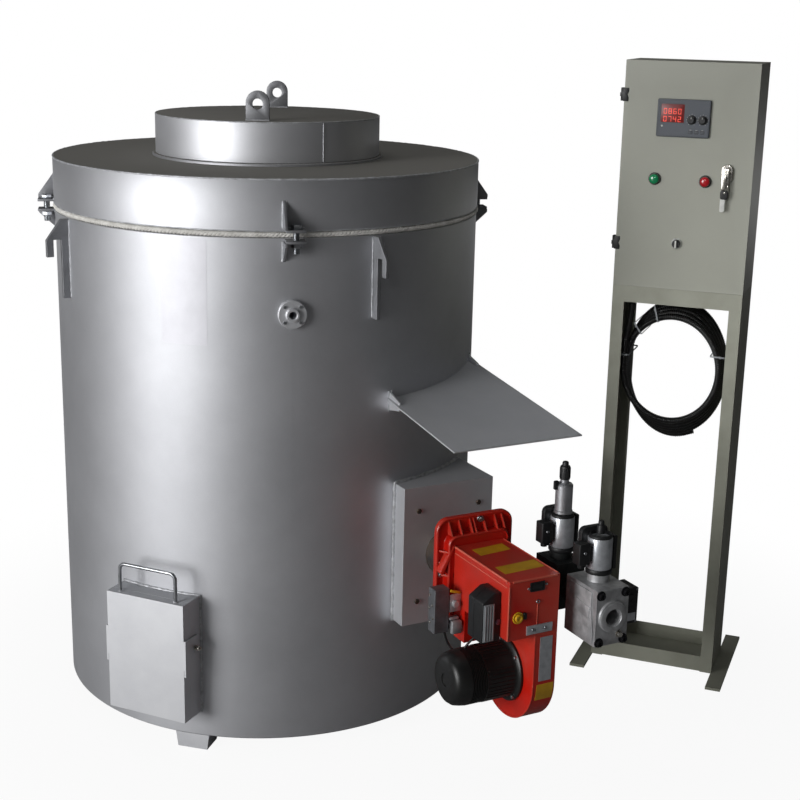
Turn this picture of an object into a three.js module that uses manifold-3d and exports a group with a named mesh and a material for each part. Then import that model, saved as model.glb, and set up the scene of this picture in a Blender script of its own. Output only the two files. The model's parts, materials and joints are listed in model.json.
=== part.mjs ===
// A gas-fired aluminum melting furnace: a round crucible furnace with a lift-off lid, its gas
// burner and gas train, and the control cabinet on its stand with a coil of cable conduit.
// Millimetres and degrees. +Z is up, the front is towards -Y, and the drum's axis is the Z axis
// until the last lines set the whole group down on its own footprint.

import * as THREE from 'three';
import { mergeVertices } from 'three/addons/utils/BufferGeometryUtils.js';
import Module from 'manifold-3d';

const wasm = await Module();
wasm.setup();

// Gaps and cuts that serve every piece
const seat = 0.3;
const overrun = 30;
const weld = 2;
const mergeTolerance = 1e-4;
const facets = { drum: 48, hollow: 24, pipe: 20, knob: 16, pin: 10, hose: 8, hex: 6, corner: 3 };

// Furnace drum, measured from the floor up
const shell = { radius: 550, wall: 5, leg: 43, height: 1266, floorPlate: 6, rimPlate: 6, rimWidth: 52 };
const lining = { thickness: 150, floor: 130 };
const pedestal = { inset: 87, height: 150 };
const crucible = { flameGap: 138, rimDrop: 29.1, wall: 32, floor: 45, wellShare: 0.5 };
const crucibleOuterShares = [[0.6, 0], [0.8, 0.12], [0.95, 0.42], [1, 0.7], [0.98, 0.94], [1, 0.96], [1, 1]];
const crucibleInnerShares = [[0.98, 0.94], [1, 0.7], [0.95, 0.42], [0.8, 0.12]];
const foot = { width: 92, toe: 80, depth: 62, inset: 8, wall: 8, firstHeading: -21, count: 3 };
const rope = { height: 14, width: 17, proud: 5, corner: 4 };
const ring = { overhang: 2, wall: 5, height: 120, plate: 6, width: 275 };
const collar = { outerStep: 24, innerStep: 9, height: 6.3 };
const lid = { step: 16, wall: 5, height: 99, top: 6, plugStep: 13, plugDrop: 72 };
const lug = { width: 58, height: 72, thickness: 10, hole: 26, holeHeight: 40, inset: 51, heading: -6 };

// Clamps that pull the cover ring down on the drum
const clamp = {
  heading: 5.5, count: 4, reach: 42, plateFrom: -16, plateTo: 30, plate: 6, gap: 19, gusset: 7,
  gussetUp: 64, gussetDown: 48, nose: 8, boltAt: 9, boltOut: 20, hole: 9,
};
const clampBolt = { radius: 8, length: 68, headRadius: 13, headHeight: 10, nutHeight: 12 };

// Lifting hooks on the drum
const hook = {
  heading: 27, count: 4, topDrop: 3, bar: 197, barWidth: 20, thickness: 10, reach: 58,
  slotDrop: 53, tipDrop: 95, slot: 20,
};

// Thermocouple port
const port = {
  heading: 5.7, topDrop: 178, flange: 34, thickness: 10, boss: 16, bossOut: 9, bore: 9, tail: 70,
};

// Clean-out door at the foot of the drum
const cleanout = { heading: -29.4, halfWidth: 110, bottom: 112, top: 422, standOff: 40, wall: 20 };
const throat = { halfWidth: 75, bottom: 192, top: 372 };
const pan = { depth: 27, wall: 5, earFrom: 236, earTop: 330, earBack: 18, earThickness: 5, earWidth: 13 };
const doorPin = { out: 14, height: 300, radius: 4, length: 17, ball: 7 };
const doorHandle = { wire: 4.5, halfWidth: 80, rise: 72, bend: 16, inset: 12 };

// Burner box, on a heading that fires past the crucible's side
const burnerHeading = 22.5;
const burnerBox = {
  standOff: 40, offset: 240, halfWidth: 126, bottom: 321, top: 684, wall: 6, hole: 6, holeAt: 85, holeUp: 120,
};
const burnerAxis = 502;
const shade = {
  left: 84, right: 430, reach: 330, thickness: 4, slope: 7.2, rootHeight: 918, rootInset: 95,
  bracketOut: 52, bracketUp: 22, bracketDown: 36, bracketThickness: 6, bracketInset: 10,
};

// Burner, in its own frame: x to its right, y from the box face, -y forwards
const tube = { radius: 62, wall: 5, into: 170 };
const flange = {
  back: 107, plate: 13, left: -101, right: 112, top: 641, bottom: 359, corner: 34,
  stepDepth: 23, stepInset: 22, stepRise: 40,
};
const body = { left: -62, right: 73, front: 395, bottom: 430, top: 575, wall: 4 };
const scroll = { left: 15, back: 272, centre: 300, radius: 122, wall: 4, inlet: 52 };
const fan = {
  radius: 84, hub: 20, shaft: 8, plate: 3, gap: 5, blades: 12, blade: 3, bladeDepth: 16, ringWidth: 10,
};
const motor = {
  radius: 67, length: 168, flange: 80, flangeDepth: 9, bore: 8.8, boreDepth: 110, bell: 12, bellRadius: 56,
};
const controlBox = { left: -112, back: 298, front: 365, bottom: 420, top: 540 };
const resetButton = { x: -37, z: 485, radius: 10, stem: 6, proud: 5, behind: 10, travel: 3 };
const intake = { left: -60, right: 14, back: 147, front: 197, bottom: 345, wall: 3 };
const actuator = { left: -136, right: -96, back: 152, front: 184, bottom: 376, top: 488, boss: 12 };
const flap = { axisHeight: 392, shaft: 4, clearance: 0.4, plate: 3, margin: 2.5 };

// Gas train beside the burner
const train = { x: 175, height: 480 };
const valve1 = { back: 200, front: 292, halfWidth: 40, bottom: 432, top: 548 };
const valve2 = {
  back: 340, front: 465, halfWidth: 45, bottom: 407, top: 546, bore: 21, ring: 38, ringOut: 6, boreDepth: 60,
};
const nipple = { radius: 26 };
const stem = { radius: 10 };
const coil = { radius: 27.5, bottom: 572, top: 655, clearance: 0.4 };
const yoke = { halfWidth: 14, side: 4, reach: 38, top: 6, bottomDrop: 6 };
const coilPlug = { width: 26, depth: 30, height: 30, up: 50 };
const slowCylinder = {
  radius: 21, height: 74, neck: 11, neckHeight: 15, cap: 12, capHeight: 30, crown: 8, crownHeight: 9,
};
const spindleCap = { radius: 9.5, height: 30 };
const elbow = { radius: 18, wall: 4, bend: 22 };
const gasSwitch = { width: 42, back: 388, front: 442, bottom: 438, top: 528 };

// Control cabinet on its stand, in its own frame: x along its face, y to its back
const cabinet = {
  x: 939.5, y: -6.5, heading: -25.77, width: 350, depth: 180, height: 600, bottom: 1103, wall: 3,
};
const cabinetDoor = { depth: 20, wall: 3, gap: 0.5 };
const hinge = {
  radius: 5, pin: 2.5, out: 6.5, forward: 9, knuckle: 11, low: 116, topDrop: 90, clearance: 0.3,
};
const controller = {
  x: 161, topDrop: 145, width: 139, height: 98, proud: 8, bodyWidth: 128, bodyHeight: 86, bodyDepth: 70,
};
const dial = { leftX: 183, rightX: 212, topDrop: 148, radius: 12, proud: 11, stem: 3, behind: 5, bore: 3.4 };
const pushButton = {
  greenX: 95, redX: 229, z: 294, radius: 13, proud: 13, stem: 9, behind: 26, travel: 4,
  shoulderShare: 0.85, crownShare: 0.7,
};
const bezel = { width: 3, depth: 4, clearance: 0.4 };
const selector = { x: 165, z: 125, radius: 11, proud: 17, cap: 11, grip: 5, stem: 8, behind: 26 };
const lock = {
  x: 285, z: 318, width: 32, height: 48, depth: 7, barrel: 10, proud: 9, behind: 29,
  cam: 58, camWidth: 14, camThickness: 3, keeper: 12, keeperHeight: 30, keeperThickness: 2,
};
const key = { width: 5, thickness: 2, drop: 78, bow: 20, bowHeight: 26, out: 16 };
const stand = { flange: 33, wall: 3, rail: 45, footLift: 8, footWidth: 40, footFront: 95, footBack: 108 };

// Cable conduit: its gland under the cabinet, a short lead, then the coil that hangs in the stand
const conduit = { diameter: 18, glandX: 48, y: 42, top: 40, pitch: 21, turns: 5.3, centreX: 164 };
const gland = { radius: 13, thread: 10, bore: 7, clearance: 0.5, nut: 15, nutHeight: 6, shoulder: 3 };
const firstLoop = { halfWidth: 130, top: 92, bottom: 376 };
const lastLoop = { halfWidth: 139, top: 55, bottom: 446 };
const leadBend = 90;
const tie = { thickness: 2.5, height: 8, left: 200, right: 182, slack: 0.8, corner: 6 };

// Radii and faces that follow from the drum's radius
const chamberRadius = shell.radius - lining.thickness;
const crucibleRadius = chamberRadius - crucible.flameGap;
const ringRadius = shell.radius + ring.overhang;
const throatRadius = shell.radius - ring.width;
const lidRadius = throatRadius + lid.step;
const burnerFace = shell.radius + burnerBox.standOff;
const cleanoutFace = shell.radius + cleanout.standOff;

// Levels that follow from the sizes above
const shellTop = shell.leg + shell.height;
const ringBottom = shellTop + rope.height;
const ringTop = ringBottom + ring.height;
const lidBottom = ringTop + collar.height + seat;
const lidTop = lidBottom + lid.height;
const chamberBottom = shell.leg + shell.floorPlate + seat + lining.floor;
const pedestalTop = chamberBottom + seat + pedestal.height;
const crucibleBottom = pedestalTop + seat;
const crucibleHeight = shellTop - crucible.rimDrop - crucibleBottom;
const portHeight = shellTop - port.topDrop;
const controllerHeight = cabinet.height - controller.topDrop;
const dialHeight = cabinet.height - dial.topDrop;

// Geometry helpers
const radians = THREE.MathUtils.degToRad;

function toSolid(geometry) {
  const plain = geometry.clone();
  plain.deleteAttribute('normal');
  plain.deleteAttribute('uv');
  const merged = mergeVertices(plain, mergeTolerance);
  const index = merged.index.array;
  const faces = [];
  for (let i = 0; i < index.length; i += 3) {
    const [a, b, c] = [index[i], index[i + 1], index[i + 2]];
    if (a !== b && b !== c && c !== a) faces.push(a, b, c);
  }
  return new wasm.Manifold(new wasm.Mesh({
    numProp: 3,
    vertProperties: new Float32Array(merged.attributes.position.array),
    triVerts: new Uint32Array(faces),
  }));
}

function toGeometry(solid) {
  const mesh = solid.getMesh();
  const geometry = new THREE.BufferGeometry();
  geometry.setAttribute('position', new THREE.BufferAttribute(mesh.vertProperties, 3));
  geometry.setIndex(new THREE.BufferAttribute(mesh.triVerts, 1));
  geometry.computeVertexNormals();
  return geometry;
}

function join(...pieces) {
  return toGeometry(pieces.map(toSolid).reduce((all, next) => all.add(next)));
}

function cut(base, ...tools) {
  return toGeometry(tools.map(toSolid).reduce((left, tool) => left.subtract(tool), toSolid(base)));
}

// A box between two values on each axis
function block([x0, x1], [y0, y1], [z0, z1]) {
  const box = new THREE.BoxGeometry(x1 - x0, y1 - y0, z1 - z0);
  return box.translate((x0 + x1) / 2, (y0 + y1) / 2, (z0 + z1) / 2);
}

// Round bars along each axis, from one value to another, about a centre on the other two axes
function barX(radius, [from, to], [y, z], sides = facets.pin) {
  const bar = new THREE.CylinderGeometry(radius, radius, to - from, sides).rotateZ(Math.PI / 2);
  return bar.translate((from + to) / 2, y, z);
}

function barY(radius, [from, to], [x, z], sides = facets.pin) {
  const bar = new THREE.CylinderGeometry(radius, radius, to - from, sides);
  return bar.translate(x, (from + to) / 2, z);
}

function barZ(radius, [from, to], [x, y], sides = facets.pin) {
  const bar = new THREE.CylinderGeometry(radius, radius, to - from, sides).rotateX(Math.PI / 2);
  return bar.translate(x, y, (from + to) / 2);
}

// A closed profile of [radius, height] pairs, listed anticlockwise, turned about Z
function turned(profile, sides) {
  const points = profile.map(([radius, height]) => new THREE.Vector2(radius, height));
  return new THREE.LatheGeometry([...points, points[0]], sides).rotateX(Math.PI / 2);
}

// A profile that starts and ends on the axis, turned about Z
function turnedOnAxis(profile, sides) {
  const points = profile.map(([radius, height]) => new THREE.Vector2(radius, height));
  return new THREE.LatheGeometry(points, sides).rotateX(Math.PI / 2);
}

function outline(points) {
  return new THREE.Shape(points.map(([x, y]) => new THREE.Vector2(x, y)));
}

function roundedOutline([x0, x1], [y0, y1], radius) {
  const shape = new THREE.Shape();
  shape.moveTo(x0 + radius, y0);
  shape.lineTo(x1 - radius, y0).absarc(x1 - radius, y0 + radius, radius, -Math.PI / 2, 0);
  shape.lineTo(x1, y1 - radius).absarc(x1 - radius, y1 - radius, radius, 0, Math.PI / 2);
  shape.lineTo(x0 + radius, y1).absarc(x0 + radius, y1 - radius, radius, Math.PI / 2, Math.PI);
  shape.lineTo(x0, y0 + radius).absarc(x0 + radius, y0 + radius, radius, Math.PI, Math.PI * 1.5);
  return shape;
}

function extruded(shape, depth, steps = facets.corner) {
  return new THREE.ExtrudeGeometry(shape, { depth, bevelEnabled: false, curveSegments: steps });
}

// A shape drawn in (outwards, up), standing across the drum's wall, centred on x
function standing(shape, thickness, x = 0) {
  const basis = new THREE.Matrix4().makeBasis(
    new THREE.Vector3(0, -1, 0), new THREE.Vector3(0, 0, 1), new THREE.Vector3(-1, 0, 0));
  return extruded(shape, thickness).applyMatrix4(basis).translate(x + thickness / 2, 0, 0);
}

// A shape drawn in (x, up) as it is seen from the front, from y forwards by its depth
function facing(shape, depth, y = 0, steps = facets.corner) {
  return extruded(shape, depth, steps).rotateX(Math.PI / 2).translate(0, y, 0);
}

// A round wire or hose along a curve
function along(curve, radius, steps, sides) {
  const section = new THREE.Shape().absarc(0, 0, radius, 0, Math.PI * 2);
  const points = section.getSpacedPoints(sides).slice(0, sides);
  return new THREE.ExtrudeGeometry(new THREE.Shape(points), { extrudePath: curve, steps });
}

// Finishes
const paint = (color, roughness, metalness = 0) => ({ color, roughness, metalness });
const finish = {
  silver: paint('#9fa0a4', 0.5, 0.55),
  darkSteel: paint('#4b4c4e', 0.6, 0.5),
  refractory: paint('#cdc4b2', 0.95),
  graphite: paint('#3b3a3a', 0.8),
  ceramicRope: paint('#c9c7bd', 0.95),
  zinc: paint('#b4b7ba', 0.4, 0.8),
  red: paint('#b5201d', 0.4),
  black: paint('#17181a', 0.5),
  cast: paint('#8b8d90', 0.55, 0.6),
  chrome: paint('#c9c9c6', 0.2, 1),
  cabinetGrey: paint('#9c9d94', 0.5),
  standGrey: paint('#6f7062', 0.5),
  yellow: paint('#d6a81c', 0.5),
  green: paint('#0f7a4f', 0.35),
  buttonRed: paint('#a81623', 0.35),
};

function add(parent, name, geometry, look) {
  const mesh = new THREE.Mesh(geometry, new THREE.MeshStandardMaterial(look));
  mesh.name = name;
  parent.add(mesh);
  return mesh;
}

function turnedGroup(parent, heading) {
  const group = new THREE.Group();
  group.rotation.z = radians(heading);
  parent.add(group);
  return group;
}

const plant = new THREE.Group();
const furnace = new THREE.Group();
plant.add(furnace);

// One clamp bracket in the frame of its heading: a plate with a hole, and a gusset on its left
function clampBracket(wallRadius, plateZ, rise) {
  const root = wallRadius - weld;
  const reach = shell.radius + clamp.reach;
  const plate = block([clamp.plateFrom, clamp.plateTo], [-reach, -root], plateZ);
  const [low, high] = plateZ;
  const from = rise > 0 ? high - weld : low + weld;
  const gussetShape = outline(rise > 0
    ? [[root, from], [reach, from], [reach, from + clamp.nose], [root, from + rise]]
    : [[root, from + rise], [reach, from - clamp.nose], [reach, from], [root, from]]);
  const gusset = standing(gussetShape, clamp.gusset, clamp.plateFrom);
  const hole = barZ(clamp.hole, [low - overrun, high + overrun], [clamp.boltAt, -boltRadius]);
  return cut(join(plate, gusset), hole);
}

const boltRadius = shell.radius + clamp.boltOut;
const jointHeight = (shellTop + ringBottom) / 2;
const upperPlate = [jointHeight + clamp.gap / 2, jointHeight + clamp.gap / 2 + clamp.plate];
const lowerPlate = [jointHeight - clamp.gap / 2 - clamp.plate, jointHeight - clamp.gap / 2];
const clampHeadings = Array.from({ length: clamp.count }, (_, i) => clamp.heading + (360 / clamp.count) * i);

// Cutting tools that are shared by the shell, its lining and what is welded to it
const drumTool = barZ(shell.radius + seat, [0, lidTop], [0, 0], facets.drum);

function burnerBore(radius, from, to) {
  const bore = barY(radius, [-from, -to], [burnerBox.offset, burnerAxis], facets.pipe);
  return bore.rotateZ(radians(burnerHeading));
}

function cleanoutBore(halfWidth, bottom, top, to) {
  const bore = block([-halfWidth, halfWidth], [-cleanoutFace, -to], [bottom, top]);
  return bore.rotateZ(radians(cleanout.heading));
}

function portBore(radius) {
  const bore = barY(radius, [-shell.radius - overrun, -chamberRadius + overrun], [0, portHeight], facets.knob);
  return bore.rotateZ(radians(port.heading));
}

// Furnace shell with its floor and rim, and the lower halves of the clamps
function makeShell() {
  const { radius, wall, leg, floorPlate, rimPlate, rimWidth } = shell;
  const drum = turnedOnAxis([
    [0, leg], [radius, leg], [radius, shellTop], [radius - rimWidth, shellTop],
    [radius - rimWidth, shellTop - rimPlate], [radius - wall, shellTop - rimPlate],
    [radius - wall, leg + floorPlate], [0, leg + floorPlate],
  ], facets.drum);
  const brackets = clampHeadings.map((heading) =>
    clampBracket(radius, lowerPlate, -clamp.gussetDown).rotateZ(radians(heading)));
  const holes = [
    burnerBore(tube.radius + seat * 3, burnerFace, chamberRadius / 2),
    cleanoutBore(cleanout.halfWidth - cleanout.wall, cleanout.bottom + cleanout.wall,
      cleanout.top - cleanout.wall, chamberRadius),
    portBore(port.boss + seat),
  ];
  return cut(join(drum, ...brackets), ...holes);
}
add(furnace, 'furnace_shell', makeShell(), finish.silver);

// Refractory lining: a floor and a thick wall with the burner port and the clean-out throat
function makeLining() {
  const outer = shell.radius - shell.wall - seat;
  const bottom = shell.leg + shell.floorPlate + seat;
  const top = shellTop - shell.rimPlate - seat;
  const wall = turnedOnAxis([
    [0, bottom], [outer, bottom], [outer, top], [chamberRadius, top],
    [chamberRadius, chamberBottom], [0, chamberBottom],
  ], facets.drum);
  return cut(wall,
    burnerBore(tube.radius + seat * 3, burnerFace, chamberRadius / 2),
    cleanoutBore(throat.halfWidth, throat.bottom, throat.top, chamberRadius - overrun),
    portBore(port.boss + seat));
}
add(furnace, 'refractory_lining', makeLining(), finish.refractory);

// Pedestal and crucible
add(furnace, 'crucible_pedestal', barZ(crucibleRadius - pedestal.inset, [chamberBottom + seat, pedestalTop],
  [0, 0], facets.hollow), finish.refractory);

function makeCrucible() {
  const { wall, floor, wellShare } = crucible;
  const radius = crucibleRadius;
  const outer = crucibleOuterShares.map(([r, z]) => [radius * r, crucibleBottom + crucibleHeight * z]);
  const inner = crucibleInnerShares.map(([r, z]) => [radius * r - wall, crucibleBottom + crucibleHeight * z]);
  const rim = [radius - wall, crucibleBottom + crucibleHeight];
  const well = [radius * wellShare, crucibleBottom + floor];
  return turnedOnAxis([[0, crucibleBottom], ...outer, rim, ...inner, well, [0, crucibleBottom + floor]],
    facets.hollow);
}
add(furnace, 'crucible', makeCrucible(), finish.graphite);

// Feet under the floor plate
for (let i = 0; i < foot.count; i += 1) {
  const at = turnedGroup(furnace, foot.firstHeading + (360 / foot.count) * i);
  const front = -(shell.radius - foot.inset);
  const top = shell.leg - seat;
  const shape = outline([[-foot.toe / 2, 0], [foot.toe / 2, 0], [foot.width / 2, top], [-foot.width / 2, top]]);
  const pocket = block([-foot.toe / 2 + foot.wall, foot.toe / 2 - foot.wall],
    [front + foot.wall, front + foot.depth + overrun], [foot.wall, top - foot.wall]);
  add(at, `furnace_foot_${i + 1}`, cut(facing(shape, foot.depth, front + foot.depth), pocket), finish.silver);
}

// Ceramic rope between the drum and the cover ring
function makeRope() {
  const outer = shell.radius + rope.proud;
  const inner = outer - rope.width;
  const [low, high] = [shellTop + seat, ringBottom - seat];
  const c = rope.corner;
  return turned([
    [inner + c, low], [outer - c, low], [outer, low + c], [outer, high - c],
    [outer - c, high], [inner + c, high], [inner, high - c], [inner, low + c],
  ], facets.drum);
}
add(furnace, 'rope_gasket', makeRope(), finish.ceramicRope);

// Cover ring: a casing that carries its own lining, the collar for the lid and the upper clamps
function makeRing() {
  const { wall, plate } = ring;
  const radius = ringRadius;
  const rim = radius - shell.rimWidth;
  const collarTop = ringTop + collar.height;
  const [outer, inner] = [throatRadius + collar.outerStep, throatRadius + collar.innerStep];
  const casing = turned([
    [rim, ringBottom], [radius, ringBottom], [radius, ringTop], [outer, ringTop],
    [outer, collarTop], [inner, collarTop], [inner, ringTop - plate],
    [radius - wall, ringTop - plate], [radius - wall, ringBottom + plate], [rim, ringBottom + plate],
  ], facets.drum);
  const brackets = clampHeadings.map((heading) =>
    clampBracket(radius, upperPlate, clamp.gussetUp).rotateZ(radians(heading)));
  return join(casing, ...brackets);
}
add(furnace, 'cover_ring', makeRing(), finish.silver);

add(furnace, 'cover_ring_lining', turned([
  [throatRadius, ringBottom + ring.plate + seat], [ringRadius - ring.wall - seat, ringBottom + ring.plate + seat],
  [ringRadius - ring.wall - seat, ringTop - ring.plate - seat], [throatRadius, ringTop - ring.plate - seat],
], facets.drum), finish.refractory);

// Clamp bolts with their heads and nuts
clampHeadings.forEach((heading, i) => {
  const at = turnedGroup(furnace, heading);
  const centre = [clamp.boltAt, -boltRadius];
  const [nutZ, headZ] = [lowerPlate[0] - seat, upperPlate[1] + seat];
  const { radius, length, headRadius, headHeight, nutHeight } = clampBolt;
  const top = headZ + headHeight;
  add(at, `clamp_bolt_${i + 1}`, join(
    barZ(radius, [top - length, top - weld], centre),
    barZ(headRadius, [headZ, top], centre, facets.hex),
    barZ(headRadius, [nutZ - nutHeight, nutZ], centre, facets.hex)), finish.zinc);
});

// Lifting hooks: a plate on edge with a slot that opens downwards
for (let i = 0; i < hook.count; i += 1) {
  const at = turnedGroup(furnace, hook.heading + (360 / hook.count) * i);
  const root = shell.radius * Math.cos(Math.PI / facets.drum) + seat * 2;
  const [bar, end] = [root + hook.barWidth, root + hook.reach];
  const slotEnd = bar + hook.slot;
  const [top, slotTop, tip] = [hook.topDrop, hook.slotDrop, hook.tipDrop].map((drop) => shellTop - drop);
  const shape = outline([
    [root, top - hook.bar], [bar, top - hook.bar], [bar, slotTop], [slotEnd, slotTop],
    [slotEnd, tip], [end, tip], [end, slotTop], [bar, top], [root, top],
  ]);
  add(at, `lifting_hook_${i + 1}`, standing(shape, hook.thickness), finish.silver);
}

// Lid casing with its two welded lifting lugs, and its insulating plug
function makeLidLug(heading) {
  const base = lidTop - weld;
  const half = lug.width / 2;
  const crown = lidTop + lug.height - half;
  const shape = new THREE.Shape();
  shape.moveTo(-half, base);
  shape.lineTo(half, base).lineTo(half, crown).absarc(0, crown, half, 0, Math.PI);
  shape.lineTo(-half, base);
  const reach = lidRadius - lug.inset;
  const plate = facing(shape, lug.thickness, -reach + lug.thickness / 2, facets.pin);
  const hole = barY(lug.hole / 2, [-reach - overrun, -reach + overrun],
    [0, lidTop + lug.holeHeight], facets.knob);
  return cut(plate, hole).rotateZ(radians(heading));
}

function makeLid() {
  const { wall, top } = lid;
  const radius = lidRadius;
  const casing = turned([
    [radius - wall, lidBottom], [radius, lidBottom], [radius, lidTop], [0, lidTop],
    [0, lidTop - top], [radius - wall, lidTop - top],
  ], facets.drum);
  return join(casing, makeLidLug(lug.heading), makeLidLug(lug.heading + 180));
}
add(furnace, 'lid_casing', makeLid(), finish.silver);

function makePlug() {
  const outer = lidRadius - lid.wall - seat;
  const inner = throatRadius - lid.plugStep;
  const step = lidBottom + seat;
  const low = step - lid.plugDrop;
  const high = lidTop - lid.top - seat;
  return turnedOnAxis([[0, low], [inner, low], [inner, step], [outer, step], [outer, high], [0, high]],
    facets.drum);
}
add(furnace, 'lid_plug', makePlug(), finish.refractory);

// Thermocouple port: a round flange on a short pipe through the wall
function makePort() {
  const out = shell.radius + weld;
  const pipe = cut(
    join(
      barY(port.boss, [-out - port.thickness - port.bossOut, -shell.radius + port.tail], [0, portHeight],
        facets.knob),
      barY(port.flange, [-out - port.thickness, -out], [0, portHeight], facets.pipe)),
    barY(port.bore, [-out - overrun * 2, -chamberRadius], [0, portHeight], facets.pin));
  return pipe;
}
add(turnedGroup(furnace, port.heading), 'port_flange', makePort(), finish.silver);

// Clean-out: a frame on the shell, and a door that hooks over two pins and lifts off
const cleanoutGroup = turnedGroup(furnace, cleanout.heading);

function makeFrame() {
  const { halfWidth: w, bottom, top, wall } = cleanout;
  const face = cleanoutFace;
  const back = -(shell.radius - overrun * 2);
  const box = block([-w, w], [-face, back], [bottom, top]);
  const opening = block([-w + wall, w - wall], [-face - overrun, back + overrun], [bottom + wall, top - wall]);
  const pins = [-1, 1].map((side) => {
    const [near, far] = [side * (w - weld), side * (w + doorPin.length)];
    const centre = [-(face - doorPin.out), doorPin.height];
    const ball = new THREE.SphereGeometry(doorPin.ball, facets.pin, facets.pin / 2);
    return join(barX(doorPin.radius, [Math.min(near, far), Math.max(near, far)], centre),
      ball.translate(far, ...centre));
  });
  const drum = drumTool.clone().rotateZ(-radians(cleanout.heading));
  return join(cut(box, opening, drum), ...pins);
}
add(cleanoutGroup, 'cleanout_frame', makeFrame(), finish.silver);

function makeDoor() {
  const { halfWidth: w, bottom, top } = cleanout;
  const face = cleanoutFace;
  const [back, front] = [-(face + seat), -(face + pan.depth)];
  const shellOfPan = cut(block([-w, w], [front, back], [bottom, top]),
    block([-w + pan.wall, w - pan.wall], [front + pan.wall, back + overrun], [bottom + pan.wall, top - pan.wall]));
  const pinY = face - doorPin.out;
  const slotHalf = doorPin.radius + seat * 2;
  const slotTop = doorPin.height + slotHalf;
  const ears = [-1, 1].map((side) => {
    const inner = w + seat * 2;
    const shape = outline([
      [face + pan.depth, pan.earFrom], [face + pan.depth, pan.earTop], [pinY - pan.earWidth, pan.earTop],
      [pinY - pan.earWidth, doorPin.height - pan.earWidth], [pinY - slotHalf, doorPin.height - pan.earWidth],
      [pinY - slotHalf, slotTop], [pinY + slotHalf, slotTop], [pinY + slotHalf, doorPin.height - pan.earWidth],
    ]);
    const ear = standing(shape, pan.earThickness, side * (inner + pan.earThickness / 2));
    const strip = [w - weld, inner + weld].map((x) => side * x).sort((a, b) => a - b);
    return join(ear, block(strip, [front, back], [pan.earFrom + pan.earBack, pan.earTop - weld]));
  });
  return join(shellOfPan, ...ears);
}
const cleanoutDoor = new THREE.Group();
cleanoutGroup.add(cleanoutDoor);
add(cleanoutDoor, 'cleanout_door', makeDoor(), finish.silver);

function makeHandle() {
  const { halfWidth: w, rise, bend, wire, inset } = doorHandle;
  const y = -(cleanoutFace + inset);
  const [base, top] = [cleanout.top + seat, cleanout.top + rise];
  const at = (x, z) => new THREE.Vector3(x, y, z);
  const path = new THREE.CurvePath();
  path.add(new THREE.LineCurve3(at(-w, base), at(-w, top - bend)));
  path.add(new THREE.QuadraticBezierCurve3(at(-w, top - bend), at(-w, top), at(-w + bend, top)));
  path.add(new THREE.LineCurve3(at(-w + bend, top), at(w - bend, top)));
  path.add(new THREE.QuadraticBezierCurve3(at(w - bend, top), at(w, top), at(w, top - bend)));
  path.add(new THREE.LineCurve3(at(w, top - bend), at(w, base)));
  return along(path, wire, facets.pipe, facets.hose);
}
add(cleanoutDoor, 'door_handle', makeHandle(), finish.zinc);

// Burner box and the heat shade above it
const burnerSide = turnedGroup(furnace, burnerHeading);

function makeBurnerBox() {
  const { offset, halfWidth, bottom, top, wall, holeAt, holeUp } = burnerBox;
  const face = burnerFace;
  const deep = -(shell.radius - shade.left * 2);
  const box = block([offset - halfWidth, offset + halfWidth], [-face, deep], [bottom, top]);
  const inside = block([offset - halfWidth + wall, offset + halfWidth - wall], [-face + wall, deep + overrun],
    [bottom + wall, top - wall]);
  const bore = barY(tube.radius + seat, [-face - overrun, -face + overrun], [offset, burnerAxis], facets.pipe);
  const holes = [[-1, -1], [-1, 1], [1, -1], [1, 1]].map(([sx, sz]) => barY(burnerBox.hole,
    [-face - overrun, -face + overrun], [offset + sx * holeAt, burnerAxis + sz * holeUp], facets.pin));
  const drum = drumTool.clone().rotateZ(-radians(burnerHeading));
  return cut(box, inside, bore, ...holes, drum);
}
add(burnerSide, 'burner_box', makeBurnerBox(), finish.silver);

function makeShade() {
  const deep = shell.radius / 2;
  const rootAt = shell.radius - shade.rootInset;
  const sheet = block([shade.left, shade.right], [-(shade.reach + shade.rootInset), rootAt - deep],
    [-shade.thickness, 0]);
  sheet.rotateX(radians(shade.slope)).translate(0, -rootAt, shade.rootHeight);
  const brackets = [shade.left + shade.bracketInset, shade.right - shade.bracketInset].map((x) => {
    const wallAt = Math.sqrt(shell.radius ** 2 - x ** 2);
    const tip = wallAt + shade.bracketOut;
    const root = wallAt - overrun;
    const level = shade.rootHeight - (wallAt - rootAt) * Math.tan(radians(shade.slope));
    return standing(outline([[root, level - shade.bracketDown], [tip, level - shade.bracketUp],
      [tip, level], [root, level + shade.bracketUp]]), shade.bracketThickness, x);
  });
  const drum = drumTool.clone().rotateZ(-radians(burnerHeading));
  return cut(join(sheet, ...brackets), drum);
}
add(burnerSide, 'heat_shade', makeShade(), finish.silver);

// Burner
const burner = new THREE.Group();
burner.position.set(burnerBox.offset, -burnerFace, 0);
burnerSide.add(burner);

const flangeFront = flange.back + flange.plate;
const bodyBack = flangeFront + flange.stepDepth;

add(burner, 'blast_tube', cut(
  barY(tube.radius, [-flangeFront - seat, tube.into], [0, burnerAxis], facets.pipe),
  barY(tube.radius - tube.wall, [-flangeFront - overrun, tube.into + overrun], [0, burnerAxis], facets.pipe)),
finish.darkSteel);

function makeFlange() {
  const { left, right, top, bottom, corner, back, stepInset, stepRise } = flange;
  const plate = facing(roundedOutline([left, right], [bottom, top], corner), flange.plate, -back);
  const step = facing(roundedOutline([left + stepInset, right - stepInset], [bottom + stepRise, top - stepRise],
    corner - stepInset / 2), flange.stepDepth + weld, -flangeFront + weld);
  return cut(join(plate, step),
    barY(tube.radius + seat, [-bodyBack - overrun, overrun], [0, burnerAxis], facets.pipe));
}
add(burner, 'burner_flange', makeFlange(), finish.red);

// Burner body: a sheet housing over the flange, open to the fan housing under it
const bodyY = [-body.front, -(bodyBack + seat)];
const scrollAxis = [-scroll.back, scroll.centre];

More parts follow.
